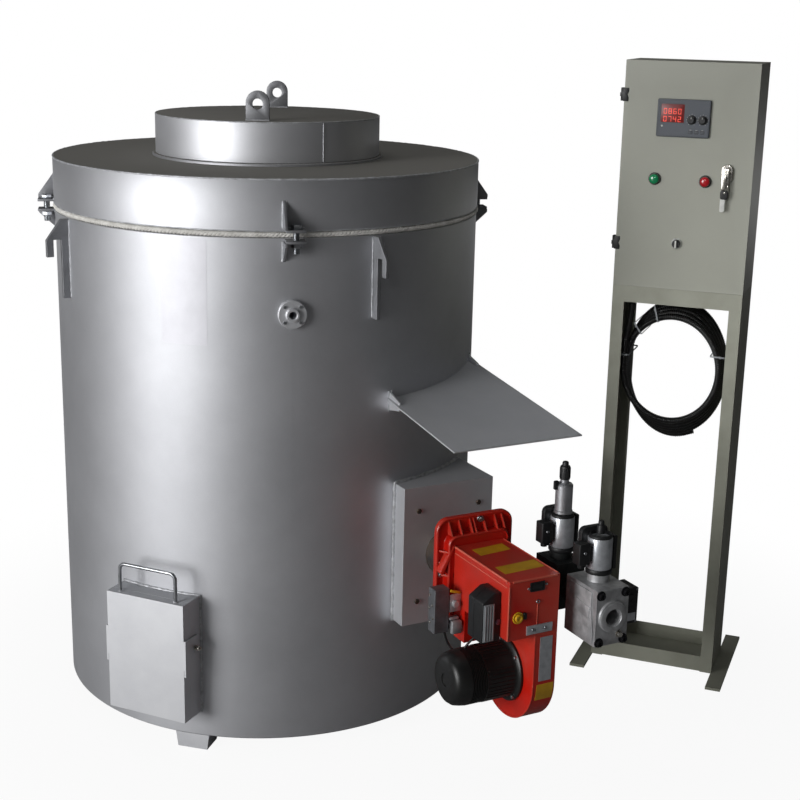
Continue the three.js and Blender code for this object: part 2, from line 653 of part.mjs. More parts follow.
function makeBody() {
  const { left, right, bottom, top, wall } = body;
  const box = block([left, right], bodyY, [bottom, top]);
  const hollow = block([left + wall, right - wall], [bodyY[0] + wall, bodyY[1] - wall], [bottom + wall, top - wall]);
  const head = barY(tube.radius - tube.wall - weld, [-bodyBack - overrun, overrun], [0, burnerAxis], facets.knob);
  const duct = block([scroll.left + scroll.wall, right - wall], [-scroll.back - scroll.radius / 2, -scroll.back],
    [bottom - overrun, bottom + overrun]);
  const buttonHole = barY(resetButton.stem + seat, [-body.front - overrun, -body.front + overrun],
    [resetButton.x, resetButton.z]);
  const gasHole = barX(elbow.radius - elbow.wall, [right - overrun, right + overrun],
    [-elbowY, train.height], facets.pin);
  const airBox = block([intake.left, intake.right], [-intake.front, -intake.back], [intake.bottom, bottom + weld]);
  const airWay = block([intake.left + intake.wall, intake.right - intake.wall],
    [-intake.front + intake.wall, -intake.back - intake.wall], [intake.bottom - overrun, bottom + wall + weld]);
  const shaftHole = barX(flap.shaft + flap.clearance, [intake.left - overrun, intake.left + overrun],
    [-flapY, flap.axisHeight]);
  return cut(join(box, airBox), hollow, airWay, head, duct, buttonHole, gasHole, shaftHole);
}
const elbowY = valve1.back - elbow.bend;
const flapY = (intake.front + intake.back) / 2;
add(burner, 'burner_body', makeBody(), finish.red);

// Fan housing: a scroll with a round belly, its air inlet on the right
function makeScroll() {
  const { left, wall, radius, centre, back, inlet } = scroll;
  const top = body.bottom - seat;
  const scrollShape = (r, z) => {
    const shape = new THREE.Shape();
    shape.moveTo(back - r, z);
    shape.lineTo(back - r, centre).absarc(back, centre, r, Math.PI, Math.PI * 2);
    shape.lineTo(back + r, z);
    return shape;
  };
  const width = body.right - left;
  const middle = (body.right + left) / 2;
  const extrude = (shape, depth) => {
    const basis = new THREE.Matrix4().makeBasis(
      new THREE.Vector3(0, -1, 0), new THREE.Vector3(0, 0, 1), new THREE.Vector3(-1, 0, 0));
    return extruded(shape, depth, facets.knob / 2).applyMatrix4(basis).translate(middle + depth / 2, 0, 0);
  };
  const outer = extrude(scrollShape(radius, top), width);
  const inner = extrude(scrollShape(radius - wall, top - wall), width - wall * 2);
  const duct = block([left + wall, body.right - wall], [-back - radius / 2, -back], [top - overrun, top + overrun]);
  const inletHole = barX(inlet, [body.right - overrun, body.right + overrun], scrollAxis, facets.knob);
  const shaftHole = barX(fan.hub + seat, [left - overrun, left + overrun], scrollAxis, facets.pin);
  return cut(outer, inner, duct, inletHole, shaftHole);
}
add(burner, 'fan_housing', makeScroll(), finish.red);

// Fan wheel on the motor's shaft: a back plate, blades and a front ring
function makeFan() {
  const [from, to] = [scroll.left + scroll.wall + fan.gap, body.right - scroll.wall - fan.gap];
  const plate = barX(fan.radius, [from, from + fan.plate], scrollAxis, facets.knob);
  const hub = barX(fan.hub, [from, from + fan.hub], scrollAxis, facets.pin);
  const shaft = barX(fan.shaft, [from - motor.boreDepth + overrun, from + weld], scrollAxis, facets.pin);
  const front = cut(barX(fan.radius, [to - fan.plate, to], scrollAxis, facets.knob),
    barX(fan.radius - fan.ringWidth, [to - overrun, to + overrun], scrollAxis, facets.knob));
  const [y, z] = scrollAxis;
  const blades = Array.from({ length: fan.blades }, (_, i) => {
    const radius = fan.radius - fan.bladeDepth;
    const blade = block([from + weld, to - weld], [-fan.blade / 2, fan.blade / 2], [radius, fan.radius - weld]);
    return blade.rotateX((Math.PI * 2 * i) / fan.blades).translate(0, y, z);
  });
  return join(plate, hub, shaft, front, ...blades);
}
add(burner, 'fan_wheel', makeFan(), finish.zinc);

function makeMotor() {
  const end = scroll.left - seat;
  const { radius, length, bell, bellRadius } = motor;
  const frame = barX(radius, [end - length + bell, end], scrollAxis, facets.pipe);
  const cover = barX(bellRadius, [end - length, end - length + bell + weld], scrollAxis, facets.knob);
  const plate = barX(motor.flange, [end - motor.flangeDepth, end], scrollAxis, facets.pipe);
  const bore = barX(motor.bore, [end - motor.boreDepth, end + overrun], scrollAxis, facets.pin);
  return cut(join(frame, cover, plate), bore);
}
add(burner, 'burner_motor', makeMotor(), finish.black);

add(burner, 'control_box', block([controlBox.left, body.left - seat], [-controlBox.front, -controlBox.back],
  [controlBox.bottom, controlBox.top]), finish.black);

// Reset button in the front face, sprung outwards
add(burner, 'reset_button', join(
  barY(resetButton.radius, [-body.front - resetButton.travel - resetButton.proud,
    -body.front - resetButton.travel - seat], [resetButton.x, resetButton.z], facets.knob),
  barY(resetButton.stem, [-body.front - resetButton.travel - weld, -body.front + resetButton.behind],
    [resetButton.x, resetButton.z], facets.pin)), finish.yellow);

// Air damper: an actuator on the side of the intake, and the flap on its shaft
add(burner, 'damper_actuator', cut(
  join(block([actuator.left, actuator.right], [-actuator.front, -actuator.back], [actuator.bottom, actuator.top]),
    barX(actuator.boss, [actuator.right - weld, intake.left - seat], [-flapY, flap.axisHeight], facets.pin)),
  barX(flap.shaft + flap.clearance, [actuator.left + overrun / 2, intake.left + overrun],
    [-flapY, flap.axisHeight], facets.pin)), finish.cast);

const flapSpan = [intake.left + intake.wall + flap.margin, intake.right - intake.wall - flap.margin];
const flapReach = (intake.front - intake.back) / 2 - intake.wall - flap.margin;
add(burner, 'damper_flap', join(
  block(flapSpan, [-flapReach, flapReach], [-flap.plate / 2, flap.plate / 2]).translate(0, -flapY, flap.axisHeight),
  barX(flap.shaft, [actuator.left + overrun, flapSpan[1]], [-flapY, flap.axisHeight], facets.pin)), finish.zinc);

// Gas train: inlet valve in front, slow-opening valve behind it, and the elbow to the burner
function valveBody(valve) {
  const { back, front, halfWidth, bottom, top } = valve;
  const neckY = -(valve === valve1 ? coil1Y : coil2Y);
  return join(
    block([train.x - halfWidth, train.x + halfWidth], [-front, -back], [bottom, top]),
    barZ(coil.radius - weld, [top - weld, coil.bottom - yoke.bottomDrop - seat], [train.x, neckY], facets.knob),
    barZ(stem.radius, [top, coil.top], [train.x, neckY], facets.pin));
}
const coil1Y = (valve1.back + valve1.front) / 2;
const coil2Y = (valve2.back + valve2.front) / 2;
const trainAxis = [train.x, train.height];

add(burner, 'gas_valve_1', cut(
  join(valveBody(valve1), barY(nipple.radius, [-valve2.back + seat, -valve1.front + weld], trainAxis, facets.knob)),
  barY(elbow.radius - elbow.wall, [-valve2.back - overrun, -valve1.back + overrun], trainAxis, facets.pin)),
finish.black);

add(burner, 'gas_valve_2', cut(
  join(valveBody(valve2),
    barY(valve2.ring, [-valve2.front - valve2.ringOut, -valve2.front + weld], trainAxis, facets.pipe)),
  barY(valve2.bore, [-valve2.front - overrun, -valve2.front + valve2.boreDepth], trainAxis, facets.knob),
  barY(elbow.radius - elbow.wall, [-valve2.front, -valve2.back + overrun], trainAxis, facets.pin)),
finish.cast);

// Coils: a wound bobbin under a yoke, with the plug on its left
function makeCoil(centreY) {
  const y = -centreY;
  const bobbin = barZ(coil.radius, [coil.bottom, coil.top], [train.x, y], facets.knob);
  const arch = [train.x - yoke.halfWidth, train.x + yoke.halfWidth];
  const back = [y + coil.radius - weld, y + yoke.reach];
  const frame = [
    block(arch, back, [coil.bottom - yoke.bottomDrop, coil.top + yoke.top]),
    block(arch, [y - coil.radius, y + yoke.reach], [coil.top - weld / 2, coil.top + yoke.top]),
    block(arch, [y - coil.radius, y + yoke.reach], [coil.bottom - yoke.bottomDrop, coil.bottom + weld / 2]),
  ];
  const plugRoot = train.x - coil.radius + yoke.side;
  const plug = block([plugRoot - coilPlug.width - yoke.side, plugRoot],
    [y - coilPlug.depth / 2, y + coilPlug.depth / 2],
    [coil.bottom + coilPlug.up - coilPlug.height, coil.bottom + coilPlug.up]);
  const bore = barZ(stem.radius + coil.clearance, [coil.bottom - overrun, coil.top + overrun], [train.x, y],
    facets.pin);
  return cut(join(bobbin, ...frame, plug), bore);
}
add(burner, 'valve_1_coil', makeCoil(coil1Y), finish.chrome);
add(burner, 'valve_2_coil', makeCoil(coil2Y), finish.chrome);

// Slow-opening cylinder on top of the first valve, and the cap of the second
const crownBottom = coil.top + yoke.top + seat;

function makeSlowCylinder() {
  const { radius, height, neck, neckHeight, cap, capHeight, crown, crownHeight } = slowCylinder;
  const levels = [crownBottom, crownBottom + height];
  const neckTop = levels[1] + neckHeight;
  const capTop = neckTop + capHeight;
  return turnedOnAxis([
    [0, levels[0]], [radius, levels[0]], [radius, levels[1]], [neck, levels[1]], [neck, neckTop],
    [cap, neckTop], [cap, capTop], [crown, capTop], [crown, capTop + crownHeight], [0, capTop + crownHeight],
  ], facets.knob).translate(train.x, -coil1Y, 0);
}
add(burner, 'slow_opening_cylinder', makeSlowCylinder(), finish.chrome);
add(burner, 'valve_2_cap', barZ(spindleCap.radius, [crownBottom, crownBottom + spindleCap.height],
  [train.x, -coil2Y], facets.knob), finish.black);

function makeElbow() {
  const at = (x, y) => new THREE.Vector3(x, -y, train.height);
  const bendFrom = at(train.x, valve1.back - seat);
  const bendTo = at(train.x - elbow.bend, elbowY);
  const pipe = (extra, radius) => {
    const path = new THREE.CurvePath();
    if (extra) path.add(new THREE.LineCurve3(at(train.x, valve1.back + extra), bendFrom));
    path.add(new THREE.QuadraticBezierCurve3(bendFrom, at(train.x, elbowY), bendTo));
    path.add(new THREE.LineCurve3(bendTo, at(body.right + seat - extra, elbowY)));
    return along(path, radius, facets.knob, facets.pin);
  };
  return cut(pipe(0, elbow.radius), pipe(overrun, elbow.radius - elbow.wall));
}
add(burner, 'gas_elbow', makeElbow(), finish.black);

add(burner, 'pressure_switch', block(
  [train.x + valve2.halfWidth + seat, train.x + valve2.halfWidth + gasSwitch.width],
  [-gasSwitch.front, -gasSwitch.back], [gasSwitch.bottom, gasSwitch.top]), finish.black);

// Control cabinet
const cabinetGroup = turnedGroup(plant, cabinet.heading);
cabinetGroup.position.set(cabinet.x, cabinet.y, 0);
const cabinetTop = cabinet.bottom + cabinet.height;
const hingeCentre = [-hinge.out, cabinetDoor.depth - hinge.forward];
const panelZ = (z) => cabinet.bottom + z;
const hingeLevels = [panelZ(hinge.low), panelZ(cabinet.height - hinge.topDrop)];

function makeCabinet() {
  const { width, depth, bottom, wall } = cabinet;
  const front = cabinetDoor.depth + cabinetDoor.gap;
  const box = cut(block([0, width], [front, depth], [bottom + seat, cabinetTop]),
    block([wall, width - wall], [front - overrun, depth - wall], [bottom + wall, cabinetTop - wall]),
    barZ(gland.thread + gland.clearance, [bottom - overrun, bottom + overrun], [conduit.glandX, conduit.y],
      facets.knob));
  const hinges = hingeLevels.flatMap((z) => {
    const offsets = [[-hinge.knuckle * 1.5, -hinge.knuckle / 2 - hinge.clearance],
      [hinge.knuckle / 2 + hinge.clearance, hinge.knuckle * 1.5]];
    const knuckles = offsets.map(([low, high]) => barZ(hinge.radius, [z + low, z + high], hingeCentre, facets.pin));
    const leaves = offsets.map(([low, high]) => block([-hinge.out - hinge.pin, weld],
      [front, front + hinge.radius], [z + low, z + high]));
    const arms = offsets.map(([low, high]) => block([-hinge.out - hinge.pin, -hinge.out + hinge.pin],
      [hingeCentre[1], front + hinge.radius], [z + low, z + high]));
    const pin = barZ(hinge.pin, [z - hinge.knuckle, z + hinge.knuckle], hingeCentre, facets.pin);
    return [...knuckles, ...leaves, ...arms, pin];
  });
  const keeper = block([width - wall - lock.keeper, width - wall + weld], [front, front + lock.keeperThickness],
    [panelZ(lock.z) - lock.keeperHeight / 2, panelZ(lock.z) + lock.keeperHeight / 2]);
  return join(box, ...hinges, keeper);
}
add(cabinetGroup, 'cabinet_box', makeCabinet(), finish.cabinetGrey);

// Door pan, hinged on its left edge; everything on it is placed in the door's own frame
const door = new THREE.Group();
cabinetGroup.add(door);

function makeCabinetDoor() {
  const { width, bottom } = cabinet;
  const { depth, wall } = cabinetDoor;
  const sheet = cut(block([0, width], [0, depth], [bottom + seat, cabinetTop]),
    block([wall, width - wall], [wall, depth + overrun], [bottom + wall, cabinetTop - wall]));
  const leaves = hingeLevels.flatMap((z) => {
    const span = [z - hinge.knuckle / 2, z + hinge.knuckle / 2];
    return [
      barZ(hinge.radius, span, hingeCentre, facets.pin),
      block([-hinge.out, weld], [hingeCentre[1] - hinge.radius, hingeCentre[1] - hinge.pin - hinge.clearance], span),
    ];
  });
  const pinHoles = hingeLevels.map((z) => barZ(hinge.pin + hinge.clearance, [z - overrun, z + overrun],
    hingeCentre, facets.pin));
  const through = [-overrun, depth + overrun];
  const cutouts = [
    block([controller.x - controller.bodyWidth / 2 - seat, controller.x + controller.bodyWidth / 2 + seat], through,
      [panelZ(controllerHeight - controller.bodyHeight / 2) - seat,
        panelZ(controllerHeight + controller.bodyHeight / 2) + seat]),
    barY(pushButton.stem + bezel.clearance, through, [pushButton.greenX, panelZ(pushButton.z)], facets.knob),
    barY(pushButton.stem + bezel.clearance, through, [pushButton.redX, panelZ(pushButton.z)], facets.knob),
    barY(selector.stem + bezel.clearance, through, [selector.x, panelZ(selector.z)], facets.knob),
    barY(lock.barrel + bezel.clearance, through, [lock.x, panelZ(lock.z)], facets.knob),
  ];
  const bezels = [[pushButton.greenX, pushButton.z, pushButton], [pushButton.redX, pushButton.z, pushButton],
    [selector.x, selector.z, selector]].map(([x, z, fitting]) => {
    const inner = fitting.radius + bezel.clearance;
    return cut(barY(inner + bezel.width, [-bezel.depth, weld], [x, panelZ(z)], facets.knob),
      barY(inner, [-overrun, 0], [x, panelZ(z)], facets.knob),
      barY(fitting.stem + bezel.clearance, through, [x, panelZ(z)], facets.knob));
  });
  return cut(join(cut(sheet, ...cutouts), ...leaves, ...bezels), ...pinHoles);
}
add(door, 'cabinet_door', makeCabinetDoor(), finish.cabinetGrey);

function makeController() {
  const { x, width, height, proud, bodyWidth, bodyHeight, bodyDepth } = controller;
  const z = controllerHeight;
  const bezel = block([x - width / 2, x + width / 2], [-proud, -seat],
    [panelZ(z - height / 2), panelZ(z + height / 2)]);
  const casing = block([x - bodyWidth / 2, x + bodyWidth / 2], [-seat - weld, bodyDepth],
    [panelZ(z - bodyHeight / 2), panelZ(z + bodyHeight / 2)]);
  const bores = [dial.leftX, dial.rightX].map((dialX) =>
    barY(dial.bore, [-proud - overrun, -proud + dial.behind + seat], [dialX, panelZ(dialHeight)], facets.pin));
  return cut(join(bezel, casing), ...bores);
}
add(door, 'temperature_controller', makeController(), finish.black);

[['controller_dial_left', dial.leftX], ['controller_dial_right', dial.rightX]].forEach(([name, x]) => {
  const face = -controller.proud - seat;
  add(door, name, join(
    barY(dial.radius, [face - dial.proud, face], [x, panelZ(dialHeight)], facets.knob),
    barY(dial.stem, [face - weld, face + dial.behind], [x, panelZ(dialHeight)], facets.pin)), finish.black);
});

// Push buttons: a domed cap on a stem that runs through the door
function makeButton(x) {
  const { radius, proud, travel, shoulderShare, crownShare } = pushButton;
  const cap = turnedOnAxis([
    [0, 0], [radius, 0], [radius, proud / 2], [radius * crownShare, proud * shoulderShare], [0, proud],
  ], facets.knob).rotateX(Math.PI / 2);
  return join(cap.translate(x, -travel - seat, panelZ(pushButton.z)),
    barY(pushButton.stem, [-travel - weld, pushButton.behind], [x, panelZ(pushButton.z)], facets.knob));
}
add(door, 'green_button', makeButton(pushButton.greenX), finish.green);
add(door, 'red_button', makeButton(pushButton.redX), finish.buttonRed);

function makeSelector() {
  const { x, z, radius, proud, cap, grip, stem: shaft, behind } = selector;
  const across = radius - weld / 2;
  return join(
    barY(radius, [-cap, -seat], [x, panelZ(z)], facets.knob),
    block([x - grip / 2, x + grip / 2], [-proud, -cap / 2], [panelZ(z - across), panelZ(z + across)]),
    barY(shaft, [-cap / 2, behind], [x, panelZ(z)], facets.knob));
}
add(door, 'selector_switch', makeSelector(), finish.black);

// Door lock: a plate on the door, and the barrel with its cam behind the door and its key
add(door, 'door_lock', cut(
  block([lock.x - lock.width / 2, lock.x + lock.width / 2], [-lock.depth, -seat],
    [panelZ(lock.z - lock.height / 2), panelZ(lock.z + lock.height / 2)]),
  barY(lock.barrel + bezel.clearance, [-lock.depth - overrun, overrun], [lock.x, panelZ(lock.z)], facets.knob)),
finish.zinc);

function makeLockBarrel() {
  const { x, z, depth, barrel, proud, behind, cam, camWidth, camThickness } = lock;
  const keyTop = panelZ(z) + key.width;
  const keyEnd = keyTop - key.drop;
  return join(
    barY(barrel, [-depth - proud, behind], [x, panelZ(z)], facets.knob),
    block([x - camWidth / 2, x + camWidth / 2], [behind - camThickness, behind], [panelZ(z - cam), panelZ(z)]),
    block([x - key.width / 2, x + key.width / 2], [-key.out, -key.out + key.thickness + weld], [keyEnd, keyTop]),
    block([x - key.bow / 2, x + key.bow / 2], [-key.out, -key.out + key.thickness],
      [keyEnd - key.bowHeight, keyEnd + weld]));
}
add(door, 'lock_barrel', makeLockBarrel(), finish.zinc);

// Welded stand: channel posts and rails with the flats that it stands on
function makeStand() {
  const { width, depth, bottom } = cabinet;
  const { flange: lip, wall, rail, footLift, footWidth, footFront, footBack } = stand;
  const top = bottom;
  const post = [footLift - weld, top];
  const faces = [[0, wall], [depth - wall, depth]];
  const sides = [
    [0, lip, 0, wall, -footWidth, weld],
    [width - lip, width, width - wall, width, width - weld, width + footWidth],
  ];
  const posts = sides.flatMap(([lip0, lip1, web0, web1, foot0, foot1]) => [
    ...faces.map((face) => block([lip0, lip1], face, post)),
    block([web0, web1], [0, depth], post),
    block([foot0, foot1], [-footFront, depth + footBack], [0, footLift]),
  ]);
  const rails = [[top - wall, top, top - rail, top], [footLift, footLift + wall, footLift, footLift + rail]];
  const bars = rails.flatMap(([web0, web1, lip0, lip1]) => [
    block([0, width], [0, depth], [web0, web1]),
    ...faces.map((face) => block([0, width], face, [lip0, lip1])),
  ]);
  const hole = barZ(gland.thread + gland.clearance, [top - overrun / 2, top + overrun], [conduit.glandX, conduit.y],
    facets.knob);
  return cut(join(...posts, ...bars), hole);
}
add(cabinetGroup, 'control_stand', makeStand(), finish.standGrey);

// Conduit gland through the stand's top rail and the cabinet's floor
function makeGland() {
  const under = cabinet.bottom - stand.wall - seat;
  const inside = cabinet.bottom + cabinet.wall + seat;
  const end = cabinet.bottom - conduit.top;
  const centre = [conduit.glandX, conduit.y];
  return cut(join(
    barZ(gland.radius, [end, under], centre, facets.pin),
    barZ(gland.thread, [under - weld, inside + gland.nutHeight + gland.shoulder], centre, facets.knob),
    barZ(gland.nut, [inside, inside + gland.nutHeight], centre, facets.hex)),
  barZ(gland.bore, [end - overrun, inside + overrun], centre, facets.pin));
}
add(cabinetGroup, 'conduit_gland', makeGland(), finish.black);

// Loops that grow and step back by one pitch a turn, heading down from their left side
class HangingLoops extends THREE.Curve {
  getPoint(share, target = new THREE.Vector3()) {
    const angle = Math.PI + share * conduit.turns * Math.PI * 2;
    const mix = (from, to) => from + (to - from) * share;
    const halfWidth = mix(firstLoop.halfWidth, lastLoop.halfWidth);
    const top = mix(firstLoop.top, lastLoop.top);
    const bottom = mix(firstLoop.bottom, lastLoop.bottom);
    return target.set(
      conduit.centreX + halfWidth * Math.cos(angle),
      conduit.y + conduit.pitch * conduit.turns * share,
      cabinet.bottom - (top + bottom) / 2 + ((bottom - top) / 2) * Math.sin(angle));
  }
}

// Coil: the loops, with both ends straight for one diameter
const loops = new HangingLoops();
const loopStart = loops.getPoint(0);
const coilStart = loopStart.clone().add(new THREE.Vector3(0, 0, conduit.diameter));
const loopEnd = loops.getPoint(1);
const coilEnd = loopEnd.clone().add(loops.getTangent(1).multiplyScalar(conduit.diameter));
const coilCurve = new THREE.CurvePath();
coilCurve.add(new THREE.LineCurve3(coilStart, loopStart));
coilCurve.add(loops);
coilCurve.add(new THREE.LineCurve3(loopEnd, coilEnd));
const loopSteps = 24;
const loopSides = 6;
const coilSteps = Math.round(conduit.turns * loopSteps);
add(cabinetGroup, 'conduit_coil', along(coilCurve, conduit.diameter / 2, coilSteps, loopSides), finish.black);

// Least gap of the coil to itself, between points at least half a turn apart
function leastCoilGap() {
  const points = coilCurve.getSpacedPoints(coilSteps * 2);
  let least = Infinity;
  for (let i = 0; i < points.length; i += 1) {
    for (let j = i + loopSteps; j < points.length; j += 1) {
      least = Math.min(least, points[i].distanceTo(points[j]) - conduit.diameter);
    }
  }
  return least;
}
console.log(`conduit coil: least gap to itself ${leastCoilGap().toFixed(2)} mm`);
console.log(`conduit coil: length ${(coilCurve.getLength()).toFixed(0)} mm`);

// Lead from the gland down to the first loop
const leadTop = new THREE.Vector3(conduit.glandX, conduit.y, cabinet.bottom - conduit.top - seat);
const leadBottom = coilStart.clone().add(new THREE.Vector3(0, 0, seat));
const leadCurve = new THREE.CubicBezierCurve3(
  leadTop, leadTop.clone().sub(new THREE.Vector3(0, 0, leadBend)),
  leadBottom.clone().add(new THREE.Vector3(0, 0, leadBend)), leadBottom);
const leadSteps = 6;
add(cabinetGroup, 'conduit_lead', along(leadCurve, conduit.diameter / 2, leadSteps, facets.hose), finish.black);

// Ties round the bundle, each against one post's web
function makeTie(side, drop) {
  const level = cabinet.bottom - drop;
  const near = [...coilCurve.getSpacedPoints(coilSteps * facets.knob), ...leadCurve.getPoints(coilSteps)]
    .filter((p) => Math.abs(p.z - level) < tie.height && side * (p.x - conduit.centreX) > 0);
  const radius = conduit.diameter / 2 + tie.slack;
  const inward = Math.min(...near.map((p) => side * p.x)) - radius;
  const deep = [Math.min(...near.map((p) => p.y)) - radius, Math.max(...near.map((p) => p.y)) + radius];
  const webX = side < 0 ? stand.wall + seat : cabinet.width - stand.wall - seat;
  const outerX = [webX, side * (inward - tie.thickness)].sort((a, b) => a - b);
  const outerY = [deep[0] - tie.thickness, deep[1] + tie.thickness];
  const shrink = ([low, high]) => [low + tie.thickness, high - tie.thickness];
  const band = extruded(roundedOutline(outerX, outerY, tie.corner), tie.height);
  const hollow = extruded(roundedOutline(shrink(outerX), shrink(outerY), tie.corner - tie.thickness),
    tie.height + overrun);
  return cut(band, hollow.translate(0, 0, -overrun / 2)).translate(0, 0, level - tie.height / 2);
}
add(cabinetGroup, 'coil_tie_left', makeTie(-1, tie.left), finish.ceramicRope);
add(cabinetGroup, 'coil_tie_right', makeTie(1, tie.right), finish.ceramicRope);

// The whole group stands with the centre of its footprint at the origin
const footprint = new THREE.Box3().setFromObject(plant, true);
const middle = footprint.getCenter(new THREE.Vector3());
plant.position.set(-middle.x, -middle.y, -footprint.min.z);
plant.updateMatrixWorld(true);

export default plant;
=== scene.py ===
import json
import math
import bpy
from mathutils import Matrix, Vector, noise

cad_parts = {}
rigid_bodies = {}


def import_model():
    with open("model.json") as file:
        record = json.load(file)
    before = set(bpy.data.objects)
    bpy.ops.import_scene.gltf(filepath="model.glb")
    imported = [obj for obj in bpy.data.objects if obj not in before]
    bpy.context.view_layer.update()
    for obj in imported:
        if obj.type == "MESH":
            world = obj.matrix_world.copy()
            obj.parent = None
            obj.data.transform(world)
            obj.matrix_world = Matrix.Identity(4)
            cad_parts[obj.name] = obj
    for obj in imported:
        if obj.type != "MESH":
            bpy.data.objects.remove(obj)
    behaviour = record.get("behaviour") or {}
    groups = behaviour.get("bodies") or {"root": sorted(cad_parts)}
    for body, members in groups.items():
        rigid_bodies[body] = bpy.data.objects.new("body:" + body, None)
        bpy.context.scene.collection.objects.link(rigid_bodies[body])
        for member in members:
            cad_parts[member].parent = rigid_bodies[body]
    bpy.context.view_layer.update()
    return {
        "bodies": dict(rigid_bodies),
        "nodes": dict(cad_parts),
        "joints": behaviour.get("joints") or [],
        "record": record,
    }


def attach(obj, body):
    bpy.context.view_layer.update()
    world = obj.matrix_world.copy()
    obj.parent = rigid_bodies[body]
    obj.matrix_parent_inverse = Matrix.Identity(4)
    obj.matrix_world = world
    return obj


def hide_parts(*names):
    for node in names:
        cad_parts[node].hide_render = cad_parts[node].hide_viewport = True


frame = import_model()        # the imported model: a crucible furnace, its gas burner and its control cabinet
nodes = frame["nodes"]
print("frame loaded:", len(nodes), "CAD nodes")

# ---- places: every piece is drawn in millimetres in the frame of what carries it
def shift(x, y, z=0):
    return Matrix.Translation((x, y, z))


def turn(degrees, axis="Z"):
    return Matrix.Rotation(math.radians(degrees), 4, axis)


toMetres = Matrix.Scale(0.001, 4)
outwards = turn(90, "X")       # a turned piece that points out of a face
rightwards = turn(90, "Y")
leftwards = turn(-90, "Y")
furnaceFrame = shift(-412.390, 126.205)
drum = {"radius": 550, "bottom": 43, "top": 1309, "wall": 5, "rim": 52, "plate": 6, "steps": 192}


def onDrum(heading):
    return furnaceFrame @ turn(heading)


burnerHeading, cleanoutHeading = 22.5, -29.4
boxFrame, doorFrame = onDrum(burnerHeading), onDrum(cleanoutHeading)
burnerFrame = boxFrame @ shift(240, -590)
cabinetFrame = shift(527.110, 119.705) @ turn(-25.77)


def wallAt(x):
    return -math.sqrt(drum["radius"] ** 2 - x ** 2)


# ---- modelling helpers
sharpEdge = math.radians(40)


def clearSelection():
    bpy.ops.object.select_all(action="DESELECT")


def activate(piece):
    clearSelection()
    piece.select_set(True)
    bpy.context.view_layer.objects.active = piece


def trace(name, points):
    # a plane is merged to one vertex, which is drawn out from point to point
    clearSelection()
    bpy.ops.mesh.primitive_plane_add(size=1)
    piece = bpy.context.object
    piece.name = piece.data.name = name
    bpy.ops.object.mode_set(mode="EDIT")
    bpy.ops.mesh.select_all(action="SELECT")
    bpy.ops.mesh.merge(type="CENTER")
    bpy.ops.transform.translate(value=points[0])
    for start, end in zip(points, points[1:]):
        bpy.ops.mesh.extrude_region_move(TRANSFORM_OT_translate={"value": Vector(end) - Vector(start)})
    bpy.ops.mesh.select_all(action="SELECT")
    return piece


def closeUp(gap=0.001):
    bpy.ops.mesh.select_all(action="SELECT")
    bpy.ops.mesh.remove_doubles(threshold=gap)
    bpy.ops.mesh.normals_make_consistent(inside=False)
    bpy.ops.object.mode_set(mode="OBJECT")


def lathe(name, profile, steps=32):
    # a profile of (radius, height) pairs, turned about Z
    piece = trace(name, [(r, 0, z) for r, z in profile])
    bpy.ops.mesh.spin(steps=steps, angle=math.tau, center=(0, 0, 0), axis=(0, 0, 1))
    closeUp()
    return piece


def cutPlate(name, outline, depth, bevel=0, segments=2):
    # an outline in (x, z), given its depth towards the front
    points = [(x, 0, z) for x, z in outline]
    piece = trace(name, points + points[:1])
    bpy.ops.mesh.remove_doubles(threshold=0.001)
    bpy.ops.mesh.edge_face_add()
    bpy.ops.mesh.extrude_region_move(TRANSFORM_OT_translate={"value": (0, -depth, 0)})
    closeUp()
    if bevel:
        soften(piece, bevel, segments)
    return piece


def rod(name, radius, low, high, steps=32):
    return lathe(name, [(0, low), (radius, low), (radius, high), (0, high)], steps)


def block(name, spanX, spanY, spanZ, bevel=1, segments=2):
    clearSelection()
    bpy.ops.mesh.primitive_cube_add(size=1)
    piece = bpy.context.object
    piece.name = piece.data.name = name
    spans = (spanX, spanY, spanZ)
    bpy.ops.object.mode_set(mode="EDIT")
    bpy.ops.mesh.select_all(action="SELECT")
    bpy.ops.transform.resize(value=[high - low for low, high in spans])
    bpy.ops.transform.translate(value=[(high + low) / 2 for low, high in spans])
    if bevel:
        bpy.ops.mesh.bevel(offset=bevel, segments=segments, affect="EDGES")
    bpy.ops.object.mode_set(mode="OBJECT")
    return piece


def tube(name, points, radius, sides=8, closed=False, swell=None):
    # a round bar along a line of points
    line = bpy.data.curves.new(name, "CURVE")
    line.dimensions = "3D"
    line.bevel_depth = radius
    line.bevel_resolution = sides // 2 - 2
    line.use_fill_caps = not closed
    spline = line.splines.new("POLY")
    spline.points.add(len(points) - 1)
    spline.points.foreach_set("co", [c for p in points for c in (*p, 1)])
    if swell:
        spline.points.foreach_set("radius", swell)
    spline.use_cyclic_u = closed
    piece = bpy.data.objects.new(name, line)
    bpy.context.scene.collection.objects.link(piece)
    activate(piece)
    bpy.ops.object.convert(target="MESH")
    piece = bpy.context.object
    piece.data.name = name
    return piece


def apply(piece, kind, **settings):
    activate(piece)
    change = piece.modifiers.new(kind.title(), kind)
    for key, value in settings.items():
        setattr(change, key, value)
    bpy.ops.object.modifier_apply(modifier=change.name)


def soften(piece, width, segments=2):
    apply(piece, "BEVEL", width=width, segments=segments, limit_method="ANGLE", angle_limit=sharpEdge)


def cutAway(piece, *tools):
    for tool in tools:
        apply(piece, "BOOLEAN", operation="DIFFERENCE", solver="EXACT", object=tool)
        bpy.data.objects.remove(tool)


def roughen(piece, depth, size):
    # lumps along a weld or the rope, from a noise that Blender starts anew in every run, so they vary a little
    for v in piece.data.vertices:
        v.co += noise.noise_vector(v.co / size) * depth


def joined(name, pieces):
    activate(pieces[0])
    for piece in pieces:
        piece.select_set(True)
    bpy.ops.object.join()
    pieces[0].name = pieces[0].data.name = name
    return pieces[0]


